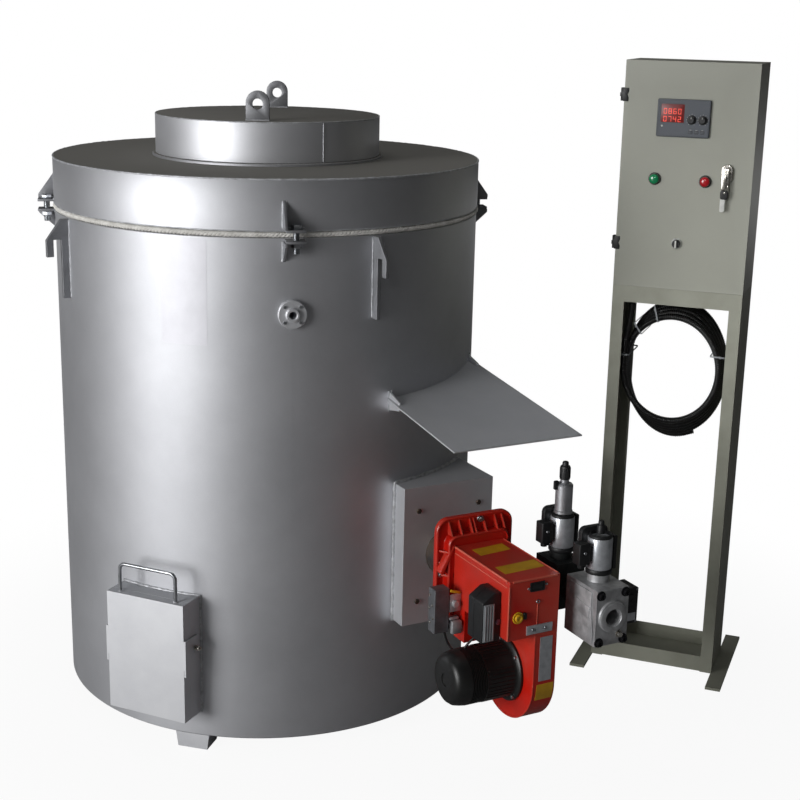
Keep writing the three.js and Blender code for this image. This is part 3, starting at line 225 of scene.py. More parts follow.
def placed(piece, place):
    piece.data.transform(place)
    return piece


def copied(piece, place):
    twin = piece.copy()
    twin.data = piece.data.copy()
    bpy.context.scene.collection.objects.link(twin)
    return placed(twin, place)


def repeated(name, piece, places):
    twins = [copied(piece, place) for place in places]
    bpy.data.objects.remove(piece)
    return joined(name, twins)


def settle(piece, place, finish, body="plant", angle=35):
    # the finished piece goes to its place, gets its finish, and rides on its body
    piece.data.transform(toMetres @ place)
    piece.data.materials.clear()
    piece.data.materials.append(finishes[finish])
    activate(piece)
    bpy.ops.object.shade_smooth_by_angle(angle=math.radians(angle))
    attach(piece, body)


def arc(centre, radius, start, end, steps):
    # points of an arc in a plane, angles in degrees
    angles = [math.radians(start + (end - start) * i / steps) for i in range(steps + 1)]
    return [(centre[0] + radius * math.cos(a), centre[1] + radius * math.sin(a)) for a in angles]


def hoop(radius, level, count, centre=(0, 0)):
    # points of a level circle
    angles = [math.tau * i / count for i in range(count)]
    return [(centre[0] + radius * math.cos(a), centre[1] + radius * math.sin(a), level) for a in angles]


def roundedOutline(spanX, spanZ, corner, steps=5):
    (x0, x1), (z0, z1) = spanX, spanZ
    corners = [(x1 - corner, z1 - corner, 0), (x0 + corner, z1 - corner, 90), (x0 + corner, z0 + corner, 180),
               (x1 - corner, z0 + corner, 270)]
    return [p for x, z, a in corners for p in arc((x, z), corner, a, a + 90, steps)]


# ---- camera: where the photograph was taken from, at the photograph's height and tilt
view = {"place": (-0.41239, -3.74449, 1.8279), "pitch": 0.2646, "yaw": 0.0931, "roll": 0.0219, "lens": 65.54}


def makeCamera():
    pitch, yaw, roll = view["pitch"], view["yaw"], view["roll"]
    forward = Vector((math.sin(yaw) * math.cos(pitch), math.cos(yaw) * math.cos(pitch), -math.sin(pitch)))
    right = Vector((math.cos(yaw), -math.sin(yaw), 0))
    up = right.cross(forward)
    rolledRight = right * math.cos(roll) + up * math.sin(roll)
    rolledUp = up * math.cos(roll) - right * math.sin(roll)
    lens = bpy.data.cameras.new("camera")
    lens.lens, lens.sensor_width, lens.sensor_fit = view["lens"], 36, "HORIZONTAL"
    camera = bpy.data.objects.new("camera", lens)
    turned = Matrix((rolledRight, rolledUp, -forward)).transposed().to_4x4()
    camera.matrix_world = Matrix.Translation(view["place"]) @ turned
    bpy.context.scene.collection.objects.link(camera)
    bpy.context.scene.camera = camera


makeCamera()

# ---- finishes
def linear(code):
    parts = [int(code[i:i + 2], 16) / 255 for i in (1, 3, 5)]
    return [c / 12.92 if c <= 0.04045 else ((c + 0.055) / 1.055) ** 2.4 for c in parts] + [1]


def addNode(tree, kind, inputs, **settings):
    made = tree.nodes.new("ShaderNode" + kind)
    for key, value in settings.items():
        setattr(made, key, value)
    for socket, value in inputs.items():
        if isinstance(value, bpy.types.NodeSocket):
            tree.links.new(value, made.inputs[socket])
        else:
            made.inputs[socket].default_value = value
    return made


def newMaterial(name):
    material = bpy.data.materials.new(name)
    material.use_nodes = True
    tree = material.node_tree
    return material, tree, tree.nodes["Principled BSDF"], tree.nodes.new("ShaderNodeTexCoord").outputs["Object"]


def surface(colour, worn, patch, grain, bump, roughness, metallic=0, coat=0, ior=1.5, dustAndShade=None, wear=None):
    # colour drifts to its worn tone over patches, grain gives the skin of the surface; both in millimetres
    material, tree, shader, place = newMaterial("finish")
    broad = addNode(tree, "TexNoise", {"Vector": place, "Scale": 1000 / patch, "Detail": 5, "Roughness": 0.6})
    skin = addNode(tree, "TexNoise", {"Vector": place, "Scale": 1000 / grain, "Detail": 3, "Roughness": 0.65})
    tone = addNode(tree, "MapRange", {"Value": broad.outputs["Fac"], "From Min": 0.3, "From Max": 0.72})
    mix = addNode(tree, "Mix", {"Factor": tone.outputs[0], "A": linear(colour), "B": linear(worn)}, data_type="RGBA")
    colours = mix.outputs["Result"]
    low, high = roughness
    gloss = addNode(tree, "MapRange", {"Value": skin.outputs["Fac"], "From Min": 0.3, "From Max": 0.7, "To Min": low,
                                       "To Max": high}).outputs[0]
    if wear:
        # bare or rubbed edges, where the surface bends sharply
        sharp = addNode(tree, "NewGeometry", {})
        edge = addNode(tree, "MapRange", {"Value": sharp.outputs["Pointiness"], "From Min": 0.54, "From Max": 0.62})
        part = addNode(tree, "Math", {0: edge.outputs[0], 1: broad.outputs["Fac"]}, operation="MULTIPLY")
        rubbed = addNode(tree, "Mix", {"Factor": part.outputs[0], "A": colours, "B": linear(wear)}, data_type="RGBA")
        colours = rubbed.outputs["Result"]
    if dustAndShade:
        # what faces up takes the given darker colour and is dulled: partly dust, partly painted shade standing in for
        # the dark ceiling such tops reflect
        facing = addNode(tree, "NewGeometry", {})
        split = addNode(tree, "SeparateXYZ", {0: facing.outputs["Normal"]})
        dustAndShadeShare = addNode(tree, "MapRange", {"Value": split.outputs["Z"], "From Min": 0.6, "From Max": 0.95,
                                          "To Max": dustAndShade[1]})
        dustedAndShaded = addNode(tree, "Mix", {"Factor": dustAndShadeShare.outputs[0], "A": colours, "B": linear(dustAndShade[0])},
                        data_type="RGBA")
        colours = dustedAndShaded.outputs["Result"]
        gloss = addNode(tree, "Mix", {"Factor": dustAndShadeShare.outputs[0], "A": gloss, "B": 0.9}).outputs["Result"]
        bare = addNode(tree, "MapRange", {"Value": dustAndShadeShare.outputs[0], "To Min": metallic, "To Max": metallic * 0.25})
        tree.links.new(bare.outputs[0], shader.inputs["Metallic"])
    else:
        shader.inputs["Metallic"].default_value = metallic
    relief = addNode(tree, "Bump", {"Height": skin.outputs["Fac"], "Strength": bump[0], "Distance": bump[1] / 1000})
    waves = addNode(tree, "Bump", {"Height": broad.outputs["Fac"], "Strength": bump[2], "Distance": bump[3] / 1000,
                                   "Normal": relief.outputs["Normal"]})
    tree.links.new(colours, shader.inputs["Base Color"])
    tree.links.new(gloss, shader.inputs["Roughness"])
    tree.links.new(waves.outputs["Normal"], shader.inputs["Normal"])
    if metallic < 1:
        shader.inputs["IOR"].default_value = ior
    shader.inputs["Coat Weight"].default_value = coat
    return material


def glowing(colour, glow, strength):
    # what shines by itself behind the controller's window
    material, tree, shader, place = newMaterial("finish")
    shader.inputs["Base Color"].default_value = linear(colour)
    shader.inputs["Roughness"].default_value = 0.4
    shader.inputs["Emission Color"].default_value = linear(glow)
    shader.inputs["Emission Strength"].default_value = strength
    return material


finishes = {
    # aluminium paint rolled on hot-rolled plate: soft metallic bloom, faint blotches, and a dull darker top that is
    # partly dust and partly painted shade
    "aluminiumPaint": surface("#d0d1d5", "#c5c6ca", 210, 3, (0.2, 0.25, 0.2, 1.2), (0.5, 0.59), metallic=0.9,
                              dustAndShade=("#7b7973", 0.95)),
    # the same paint on the lid, made paler than on the drum as painted light where the lamps leave the lid darker;
    # its top darker, partly dust and partly painted shade
    "lidPaintWithPaintedLight": surface("#e4e5e9", "#dadbdf", 210, 3, (0.2, 0.25, 0.2, 1.0), (0.5, 0.59), metallic=0.86,
                        dustAndShade=("#75736d", 0.95)),
    # the same paint sprayed on folded sheet: smoother, and paler as painted light on the clean-out, burner box, feet,
    # heat shade and port, which the lamps leave darker; its top darker, partly dust and partly painted shade
    "sheetPaintWithPaintedLight": surface("#e6e7ea", "#dbdce0", 120, 2.5, (0.2, 0.25, 0.2, 0.7), (0.48, 0.58), metallic=0.84,
                            dustAndShade=("#8a8d92", 0.6)),
    # the drum's paint on the flame-cut plate of hooks, clamps and lugs, made darker and a little duller: the darker
    # colour is painted shade
    "platePaintWithPaintedShade": surface("#a3a4a8", "#8d8e91", 60, 2.5, (0.3, 0.35, 0.3, 0.6), (0.5, 0.62), metallic=0.85),
    # dried stick-weld metal under paint: lumpy, dark in the hollows
    "weldMetal": surface("#d3d5d9", "#9a9b9e", 14, 3, (0.6, 0.6, 0.5, 0.6), (0.38, 0.6), metallic=0.4),
    # refractory castable: beige, chalky, with coarse grog in it
    "castable": surface("#cfc6b4", "#b3a892", 60, 4, (0.8, 1.2, 0.5, 1.5), (0.85, 0.98)),
    # clay-graphite crucible: dark, dry glaze with greenish blotches
    "clayGraphite": surface("#3d3c3a", "#565148", 90, 5, (0.5, 0.8, 0.3, 1), (0.6, 0.8)),
    # braided ceramic fibre rope: chalk white turned grey by paint mist
    "ceramicFibre": surface("#ebe9e4", "#c4c2bc", 22, 1.6, (0.9, 0.8, 0.3, 0.5), (0.9, 1)),
    # bright zinc on bolts and wire: cool, spangled, lightly hazed
    "zincPlate": surface("#c3c6c9", "#9b9ea2", 18, 2, (0.15, 0.1, 0.1, 0.2), (0.25, 0.42), metallic=1),
    # burnt mild steel of the blast tube: blue-brown scale
    "scaledSteel": surface("#4c4a4a", "#6a5a4c", 40, 3, (0.4, 0.3, 0.2, 0.4), (0.5, 0.7), metallic=0.8),
    # red stove enamel on pressed steel: deep, glossy, thin at the folds
    "redEnamel": surface("#c81a0c", "#a3130a", 90, 2, (0.12, 0.15, 0.1, 0.3), (0.26, 0.38), coat=0.1, ior=1.4,
                         wear="#e47f68"),
    # black enamel on the motor's ribbed frame
    "motorEnamel": surface("#0f1010", "#1c1c1b", 50, 1.5, (0.3, 0.2, 0.1, 0.2), (0.32, 0.48)),
    # moulded black ABS of boxes and plugs: fine spark texture
    "blackPlastic": surface("#131415", "#1b1c1e", 60, 0.9, (0.25, 0.1, 0.1, 0.1), (0.42, 0.55)),
    # die-cast aluminium valve body: pale, sandy skin with darker hollows
    "dieCast": surface("#cbccce", "#98999b", 26, 1.4, (0.6, 0.35, 0.3, 0.5), (0.38, 0.55), metallic=0.6),
    # grey oxide-dulled casting of the air damper's actuator
    "castGrey": surface("#808286", "#66686c", 26, 1.4, (0.6, 0.35, 0.3, 0.5), (0.42, 0.6), metallic=0.7),
    # dark phosphated casting of the first valve
    "darkCasting": surface("#3a3c3b", "#23282a", 24, 1.6, (0.6, 0.4, 0.3, 0.5), (0.45, 0.65), metallic=0.5),
    # black-oxide socket screws: oily, faintly bright on their rims
    "blackOxide": surface("#191a1c", "#2a2b2e", 12, 1, (0.15, 0.05, 0.05, 0.1), (0.28, 0.42), metallic=0.6),
    # machined and plated brass and steel: bright, with faint turning marks
    "plated": surface("#d6d3cc", "#b9b5ad", 15, 1, (0.1, 0.05, 0.05, 0.1), (0.16, 0.3), metallic=1),
    # brushed foil round the coils and on the rating plates, left blank
    "brushedFoil": surface("#d5d8dd", "#b2b6bb", 20, 1, (0.2, 0.08, 0.05, 0.1), (0.3, 0.45), metallic=0.7),
    # grey-beige powder coat of the cabinet: fine orange peel, even colour
    "cabinetCoat": surface("#9b9c91", "#95968b", 220, 1.8, (0.35, 0.12, 0.05, 0.3), (0.36, 0.48), wear="#c3c4ba"),
    # olive-grey brushed paint of the stand, over mill scale
    "standPaint": surface("#9a9b8e", "#8b8c7f", 90, 2.5, (0.4, 0.25, 0.2, 0.5), (0.4, 0.58), wear="#8f907f"),
    # black polyamide conduit: satin, a little dust in the grooves
    "polyamide": surface("#141517", "#242321", 120, 1.2, (0.2, 0.1, 0.05, 0.1), (0.26, 0.4)),
    # glossy moulded caps of the push buttons
    "greenCap": surface("#0c8a55", "#0a7347", 20, 1.5, (0.05, 0.05, 0, 0.1), (0.15, 0.25), coat=0.6),
    "redCap": surface("#b3141f", "#99101a", 20, 1.5, (0.05, 0.05, 0, 0.1), (0.15, 0.25), coat=0.6),
    # moulded reset button and its collar
    "yellowPlastic": surface("#dfae1a", "#c99614", 20, 1.5, (0.1, 0.1, 0, 0.1), (0.35, 0.5)),
    # yellow vinyl bands and label fields, left blank
    "yellowVinyl": surface("#d9a81e", "#b98a1a", 40, 2, (0.05, 0.05, 0.05, 0.1), (0.3, 0.45)),
    # smoked lens of the flame safeguard's lockout button
    "lockoutLens": surface("#5b3440", "#4a2a34", 20, 1.5, (0.05, 0.05, 0, 0.1), (0.2, 0.3), coat=0.4),
    # satin turned aluminium of the slow-opening cylinder
    "satinAluminium": surface("#c8cace", "#b2b4b8", 30, 1, (0.12, 0.08, 0.05, 0.1), (0.34, 0.46), metallic=0.9),
    # dark blue-grey moulding and printed foil of the controller
    "panelPlastic": surface("#3f444a", "#474c53", 40, 1.2, (0.2, 0.08, 0.05, 0.1), (0.4, 0.52)),
    "panelFoil": surface("#4b5058", "#454a52", 30, 1.5, (0.1, 0.05, 0.05, 0.1), (0.3, 0.42)),
    # pale ink, tag and pointer plastic
    "paleInk": surface("#cfd0cc", "#bdbeba", 20, 1.2, (0.05, 0.05, 0.05, 0.1), (0.4, 0.55)),
    # the drum's paler field: thin, smooth, nearly white
    "paleField": surface("#d2d2d7", "#c9c9ce", 70, 3, (0.15, 0.15, 0.1, 0.3), (0.5, 0.58), metallic=0.75),
    # grey nylon of the cable ties and the terminal cover
    "tieNylon": surface("#8e9295", "#7d8184", 30, 1.5, (0.1, 0.1, 0, 0.1), (0.35, 0.5)),
    # the controller's red window, and the lit figures behind it
    "redFilter": glowing("#4a0a0a", "#8a0f0c", 0.25),
    "litSegments": glowing("#d8463a", "#ff5a44", 0.9),
}
for name, material in finishes.items():
    material.name = name
print("finishes ready")

# ---- conduit: the lead from its gland and the coil in one run, at the places the solids hold
conduit = {"diameter": 18, "glandX": 48, "y": 42, "leadTop": 1062.7, "leadEnd": 887.3, "leadSteps": 24, "bend": 90,
           "exit": 1063, "startX": 34, "centreX": 164, "pitch": 21, "turns": 5.3, "underside": 1103,
           "halfWidth": (130, 139), "top": (92, 55), "bottom": (376, 446), "tail": 18, "steps": 420, "rib": 5.6,
           "groove": 0.84}


def conduitRoute():
    c = conduit
    drop = [Vector((c["glandX"], c["y"], c["leadTop"])), Vector((c["glandX"], c["y"], c["leadTop"] - c["bend"])),
            Vector((c["startX"], c["y"], c["leadEnd"] + c["bend"])), Vector((c["startX"], c["y"], c["leadEnd"]))]
    points = []
    for i in range(c["leadSteps"]):
        t = i / c["leadSteps"]
        s = 1 - t
        points.append(drop[0] * s ** 3 + drop[1] * 3 * s * s * t + drop[2] * 3 * s * t * t + drop[3] * t ** 3)
    points.append(drop[3])
    for i in range(c["steps"] + 1):
        t = i / c["steps"]
        halfWidth, top, bottom = (low + (high - low) * t for low, high in (c["halfWidth"], c["top"], c["bottom"]))
        angle = math.pi + math.tau * c["turns"] * t
        points.append(Vector((c["centreX"] + halfWidth * math.cos(angle), c["y"] + c["pitch"] * c["turns"] * t,
                              c["underside"] - (top + bottom) / 2 + (bottom - top) / 2 * math.sin(angle))))
    points.append(points[-1] + (points[-1] - points[-2]).normalized() * c["tail"])
    return points


def evenly(points, step):
    # the same line with a point at every step of its length
    out, carried = [points[0]], 0
    for a, b in zip(points, points[1:]):
        length = (b - a).length
        at = step - carried
        while at <= length:
            out.append(a.lerp(b, at / length))
            at += step
        carried = length - (at - step)
    return out


def makeConduit():
    route = conduitRoute()
    points = evenly(route, conduit["rib"] / 4)
    swell = [(1, 1, 0.93, conduit["groove"])[i % 4] for i in range(len(points))]
    run = tube("conduit_run", points, conduit["diameter"] / 2, sides=10, swell=swell)
    settle(run, cabinetFrame, "polyamide", angle=60)
    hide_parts("conduit_lead", "conduit_coil")


makeConduit()

# ---- floor, light and background
studio = {"floor": 14, "white": 0.8, "dim": 0.3, "near": 0.93, "fade": (0.9, 1.9), "behind": (5.0, 9.0),
          "ambient": (0.2, 0.08), "sides": (-0.8, 0.5), "room": 0.02, "straightBehind": (0.97, 1)}
# each lamp's place, what it is aimed at, its size, power and spread
lamps = {
    "key_light": ((-6.8, -5.0, 2.3), (-0.2, 0, 0.8), (3.1, 3.2), 440, 180),
    # light off the floor on that side, which keeps the drum's sheen up to its foot
    "low_light": ((-3.4, -2.6, 0.1), (-0.4, 0, 0.35), (2.4, 1.0), 27, 180),
    # a narrow one from over the drum's shoulder keeps the drum's shadow off the cabinet
    "cabinet_light": ((-1.15, -3.6, 2.5), (0.7, 0, 1.0), (0.35, 0.5), 0.66, 21),
    "top_light": ((-0.4, 0.6, 5.2), (-0.2, 0, 0.8), (4, 4), 28, 180),
}


def rayShare(tree):
    # 1 for what the camera or glass sees straight, and the path's own outputs for the rest
    path = addNode(tree, "LightPath", {})
    return path, addNode(tree, "Math", {0: path.outputs["Is Camera Ray"], 1: path.outputs["Is Transmission Ray"]},
                         operation="ADD", use_clamp=True).outputs[0]


def makeStudio():
    clearSelection()
    bpy.ops.mesh.primitive_plane_add(size=studio["floor"] * 2)
    floor = bpy.context.object
    floor.name = "studio_floor"
    bpy.ops.object.mode_set(mode="EDIT")
    bpy.ops.mesh.subdivide(number_cuts=3)
    bpy.ops.object.mode_set(mode="OBJECT")
    material, tree, shader, place = newMaterial("studioFloor")
    shader.inputs["Roughness"].default_value = 1
    shader.inputs["Specular IOR Level"].default_value = 0
    path, straight = rayShare(tree)
    # white to the camera, but a dim workshop floor to the light that bounces off it
    pale = addNode(tree, "MapRange", {"Value": straight, "To Min": studio["dim"], "To Max": studio["white"]})
    tint = addNode(tree, "CombineXYZ", {0: pale.outputs[0], 1: pale.outputs[0], 2: pale.outputs[0]})
    tree.links.new(tint.outputs[0], shader.inputs["Base Color"])
    glow = addNode(tree, "Emission", {"Color": (1, 1, 1, 1), "Strength": 1})
    distance = addNode(tree, "VectorMath", {0: place}, operation="LENGTH")
    near, far = studio["fade"]
    fade = addNode(tree, "MapRange", {"Value": distance.outputs["Value"], "From Min": near, "From Max": far,
                                      "To Min": studio["near"], "To Max": 1}, interpolation_type="SMOOTHSTEP")
    # reflections see the white floor only behind the object
    depth = addNode(tree, "SeparateXYZ", {0: place})
    near, far = studio["behind"]
    behind = addNode(tree, "MapRange", {"Value": depth.outputs["Y"], "From Min": near, "From Max": far},
                     interpolation_type="SMOOTHSTEP")
    mirrored = addNode(tree, "Math", {0: behind.outputs[0], 1: path.outputs["Is Glossy Ray"]}, operation="MULTIPLY")
    seen = addNode(tree, "Math", {0: straight, 1: mirrored.outputs[0]}, operation="ADD", use_clamp=True)
    share = addNode(tree, "Math", {0: fade.outputs[0], 1: seen.outputs[0]}, operation="MULTIPLY")
    blend = addNode(tree, "MixShader", {0: share.outputs[0], 1: shader.outputs[0], 2: glow.outputs[0]})
    tree.links.new(blend.outputs[0], tree.nodes["Material Output"].inputs["Surface"])
    floor.data.materials.append(material)

    world = bpy.data.worlds.new("studio")
    bpy.context.scene.world = world
    world.use_nodes = True
    tree = world.node_tree
    back = tree.nodes["Background"]
    direction = addNode(tree, "TexCoord", {})
    split = addNode(tree, "SeparateXYZ", {0: direction.outputs["Generated"]})
    # metal sees the white straight behind the object, and a dark workshop everywhere else
    low, high = studio["straightBehind"]
    depth = addNode(tree, "MapRange", {"Value": split.outputs["Y"], "From Min": low, "From Max": high,
                                       "To Min": studio["room"], "To Max": 1}, interpolation_type="SMOOTHSTEP")
    (left, right), (first, last) = studio["sides"], studio["ambient"]
    side = addNode(tree, "MapRange", {"Value": split.outputs["X"], "From Min": left, "From Max": right,
                                      "To Min": first, "To Max": last})
    path, straight = rayShare(tree)
    glossy = addNode(tree, "Mix", {"Factor": path.outputs["Is Glossy Ray"], "A": side.outputs[0],
                                   "B": depth.outputs[0]})
    level = addNode(tree, "Mix", {"Factor": straight, "A": glossy.outputs["Result"], "B": 1.0})
    back.inputs["Color"].default_value = (1, 1, 1, 1)
    tree.links.new(level.outputs["Result"], back.inputs["Strength"])

    for name, (place, aim, size, power, spread) in lamps.items():
        lamp = bpy.data.lights.new(name, "AREA")
        lamp.shape, lamp.size, lamp.size_y, lamp.energy = "RECTANGLE", *size, power
        lamp.spread = math.radians(spread)
        holder = bpy.data.objects.new(name, lamp)
        towards = Vector(aim) - Vector(place)
        holder.matrix_world = Matrix.Translation(place) @ towards.to_track_quat("-Z", "Y").to_matrix().to_4x4()
        bpy.context.scene.collection.objects.link(holder)
    bpy.context.scene.view_settings.view_transform = "Standard"


makeStudio()
print("camera, floor and light set")

# ---- the CAD solids that stay in sight: merged, their edges softened, and given their finish
dressing = {
    # a paler copy of the drum's paint: painted light
    "sheetPaintWithPaintedLight": (1.2, ["cleanout_frame", "cleanout_door", "burner_box", "heat_shade", "furnace_foot_1",
                           "furnace_foot_2", "furnace_foot_3"]),
    # a darker copy of the drum's paint: painted shade
    "platePaintWithPaintedShade": (1.2, ["lifting_hook_1", "lifting_hook_2", "lifting_hook_3", "lifting_hook_4"]),
    "castable": (3, ["refractory_lining", "crucible_pedestal"]),
    "scaledSteel": (0.6, ["blast_tube"]),
    "redEnamel": (3, ["burner_flange", "burner_body", "fan_housing"]),
    "zincPlate": (0.5, ["fan_wheel", "damper_flap"]),
    "blackPlastic": (1.5, ["pressure_switch"]),
    "dieCast": (3, ["gas_valve_2"]),
    "castGrey": (3, ["damper_actuator"]),
    "darkCasting": (2.5, ["gas_valve_1", "gas_elbow"]),
    "cabinetCoat": (1.2, ["cabinet_box", "cabinet_door"]),
    "standPaint": (1, ["control_stand"]),
}


def dressSolids():
    for finish, (bevel, names) in dressing.items():
        for name in names:
            solid = nodes[name]
            solid.data.materials.clear()
            solid.data.materials.append(finishes[finish])
            solid.data.polygons.foreach_set("use_smooth", [True] * len(solid.data.polygons))
            weld = solid.modifiers.new("Weld", "WELD")
            weld.merge_threshold = 0.00002
            flat = solid.modifiers.new("Flat", "DECIMATE")
            flat.decimate_type, flat.angle_limit = "DISSOLVE", math.radians(0.5)
            soft = solid.modifiers.new("Edges", "BEVEL")
            soft.width, soft.segments = bevel / 1000, 2
            soft.limit_method, soft.angle_limit = "ANGLE", sharpEdge
            soft.harden_normals = True
            even = solid.modifiers.new("Normals", "WEIGHTED_NORMAL")
            even.keep_sharp = True


dressSolids()
print("solids dressed")

# ---- furnace: rolled shell with the holes for the burner, the clean-out and the port
beadLook = {"lump": 1.1, "grain": 7}


def bead(points, radius, closed=False, lump=1.0):
    # a run of weld: a thin round bar, made lumpy
    seam = tube("bead", points, radius, closed=closed)
    roughen(seam, beadLook["lump"] * lump, beadLook["grain"])
    return seam


def onWall(x, z):
    return (x, wallAt(x), z)


def stepsBetween(low, high, step=6):
    count = max(2, round(abs(high - low) / step))
    return [low + (high - low) * i / count for i in range(count + 1)]


def wallFrame(spanX, spanZ):
    # points round a box that stands on the drum
    (x0, x1), (z0, z1) = spanX, spanZ
    across, up = stepsBetween(x0, x1), stepsBetween(z0, z1)
    return ([onWall(x, z0) for x in across[:-1]] + [onWall(x1, z) for z in up[:-1]]
            + [onWall(x, z1) for x in reversed(across[1:])] + [onWall(x0, z) for z in reversed(up[1:])])


def roundTool(radius, spanY, x, z, heading, sides=48):
    # a round cutter from front to back, on the heading of a place on the drum
    return placed(rod("cutter", radius, -spanY[1], -spanY[0], sides), turn(heading) @ shift(x, 0, z) @ outwards)


def blockTool(spanX, spanY, spanZ, place=Matrix()):
    return placed(block("cutter", spanX, spanY, spanZ, bevel=0), place)


# the drum's welds are at the port, the heat shade's brackets, the lifting hooks and the feet
portLook = {"heading": 5.7, "height": 1131, "flange": 34, "boss": 16, "bore": 9, "screwAt": 26}
weldLook = {"port": 32.5, "brackets": (94, 420), "slope": 7.2, "hooks": (27, 117, 207, 297), "feet": (-21, 99, 219)}


def makeDrum():
    d = drum
    r, low, high = d["radius"], d["bottom"], d["top"]
    profile = [(0, low), (r - 3, low), (r, low + 3), (r, high - 2), (r - 2, high), (r - d["rim"], high),
               (r - d["rim"], high - d["plate"]), (r - d["wall"], high - d["plate"]),
               (r - d["wall"], low + d["plate"]), (0, low + d["plate"])]
    shell = lathe("furnace_drum", profile, d["steps"])
    cutAway(shell, roundTool(63, (-620, -480), 240, 502, burnerHeading),
            blockTool((-90, 90), (-600, -500), (132, 402), turn(cleanoutHeading)),
            roundTool(16.2, (-600, -500), 0, portLook["height"], portLook["heading"], 24))
    settle(shell, furnaceFrame, "aluminiumPaint")
    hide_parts("furnace_shell")
    w = weldLook
    port = [onWall(x, portLook["height"] + z) for x, z, _ in hoop(w["port"], 0, 40)]
    runs = [(burnerHeading, wallFrame((114, 366), (321, 684)), {"closed": True, "radius": 6.5, "lump": 2}),
            (cleanoutHeading, wallFrame((-110, 110), (112, 422)), {"closed": True, "radius": 4.5, "lump": 1.6})]
    for x in w["brackets"]:
        level = 918 - (-wallAt(x) - 455) * math.tan(math.radians(w["slope"]))
        runs += [(burnerHeading, [(x + side, wallAt(x), z) for z in stepsBetween(level - 34, level + 18)],
                  {"radius": 2.2}) for side in (-4, 4)]
    for heading in w["hooks"]:
        runs += [(heading, [(side, -549.5, z) for z in stepsBetween(1112, 1303)], {"radius": 2.2})
                 for side in (-6, 6)]
    runs.append((portLook["heading"], port, {"closed": True, "radius": 2.2}))
    for heading in w["feet"]:
        runs.append((heading, [(x, -541.5, 42.5) for x in stepsBetween(-44, 44)], {"radius": 2.4}))
    seams = joined("drum_welds", [placed(bead(points, **shape), turn(heading)) for heading, points, shape in runs])
    settle(seams, furnaceFrame, "weldMetal", angle=60)


makeDrum()

# cover ring over the drum, with its collar for the lid
ringLook = {"radius": 552, "bottom": 1323, "top": 1443, "collar": (284, 299, 1449.3)}


def makeCoverRing():
    k = ringLook
    r, low, high = k["radius"], k["bottom"], k["top"]
    inner, outer, level = k["collar"]
    profile = [(r - 52, low), (r - 2, low), (r, low + 2), (r, high - 3), (r - 2, high), (outer, high),
               (outer, level - 1.5), (outer - 1.5, level), (inner + 1.5, level), (inner, level - 1.5),
               (inner, high - 6), (r - 5, high - 6), (r - 5, low + 6), (r - 52, low + 6), (r - 52, low)]
    ring = lathe("cover_ring_casing", profile, drum["steps"])
    settle(ring, furnaceFrame, "aluminiumPaint")
    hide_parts("cover_ring")
    edge = bead(hoop(r - 1.4, high - 1.6, 420), radius=2.3, closed=True, lump=0.8)
    foot = bead(hoop(r, low + 1.5, 420), radius=1.3, closed=True, lump=0.4)
    seams = joined("cover_ring_welds", [edge, foot])
    settle(seams, furnaceFrame, "weldMetal", angle=60)


makeCoverRing()

# braided rope between the drum and the ring: four strands laid round each other
ropeLook = {"radius": 546.5, "level": 1316, "strands": 4, "twists": 92, "strand": 3.9, "out": 4.4, "up": 2.9}


def makeRope():
    k = ropeLook
    count = k["twists"] * 9
    strands = []
    for s in range(k["strands"]):
        points, swell = [], []
        for i in range(count):
            a = math.tau * i / count
            lay = a * k["twists"] + math.tau * s / k["strands"]
            r = k["radius"] + k["out"] * math.cos(lay)
            points.append((r * math.cos(a), r * math.sin(a), k["level"] + k["up"] * math.sin(lay)))
            swell.append(1 + 0.1 * noise.noise(Vector(points[-1]) / 26))
        strands.append(tube("strand", points, k["strand"], closed=True, swell=swell))
    rope = joined("rope_seal", strands)
    roughen(rope, 0.5, 6)
    settle(rope, furnaceFrame, "ceramicFibre", angle=70)
    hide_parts("rope_gasket")


makeRope()

# clamps: two plates with a gusset on each, pulled together by a bolt
clampLook = {"headings": (5.5, 95.5, 185.5, 275.5), "across": (-16, 30), "reach": 592, "gusset": 7, "hole": 9,
             "boltX": 9, "boltOut": 570, "lower": (1300.5, 1306.5), "upper": (1325.5, 1331.5)}


def makeClamps():
    k = clampLook
    plates, welds = [], []
    for (low, high), rise, root in ((k["lower"], -48, 549), (k["upper"], 64, 551)):
        plate = block("plate", k["across"], (-k["reach"], -root), (low, high), bevel=0)
        cutAway(plate, placed(rod("cutter", k["hole"], low - 5, high + 5, 24), shift(k["boltX"], -k["boltOut"])))
        soften(plate, 0.8)
        start = high if rise > 0 else low
        nose = start + math.copysign(8, rise)
        outline = [(root, start), (k["reach"], start), (k["reach"], nose), (root, start + rise)]
        gusset = placed(cutPlate("gusset", outline if rise > 0 else outline[::-1], k["gusset"], bevel=0.8),
                        shift(-16 + k["gusset"] / 2, 0) @ turn(-90))
        plates += [plate, gusset]
        for side in (-16 - 4.4, -16 + 4.4):
            welds.append(bead([(side, -root - 0.5, z) for z in stepsBetween(start, start + rise * 0.96)], radius=2.2))
        welds.append(bead([(x, -root - 0.5, start) for x in stepsBetween(-12, 30)], radius=2.2))
        welds.append(bead([(-12, y, start) for y in stepsBetween(-root, -k["reach"] + 4)], radius=2))
    places = [turn(h) for h in k["headings"]]
    plates = repeated("clamp_plates", joined("clamp", plates), places)
    settle(plates, furnaceFrame, "platePaintWithPaintedShade")
    seams = repeated("clamp_welds", joined("clampWeld", welds), places)
    settle(seams, furnaceFrame, "weldMetal", angle=60)


makeClamps()


def threadProfile(radius, low, high, pitch=2.4, depth=0.9):
    points, z = [(0, low), (radius - depth, low)], low + 0.6
    while z + pitch < high:
        points += [(radius, z + pitch * 0.3), (radius, z + pitch * 0.5), (radius - depth, z + pitch * 0.9)]
        z += pitch
    return points + [(radius - depth, high), (0, high)]


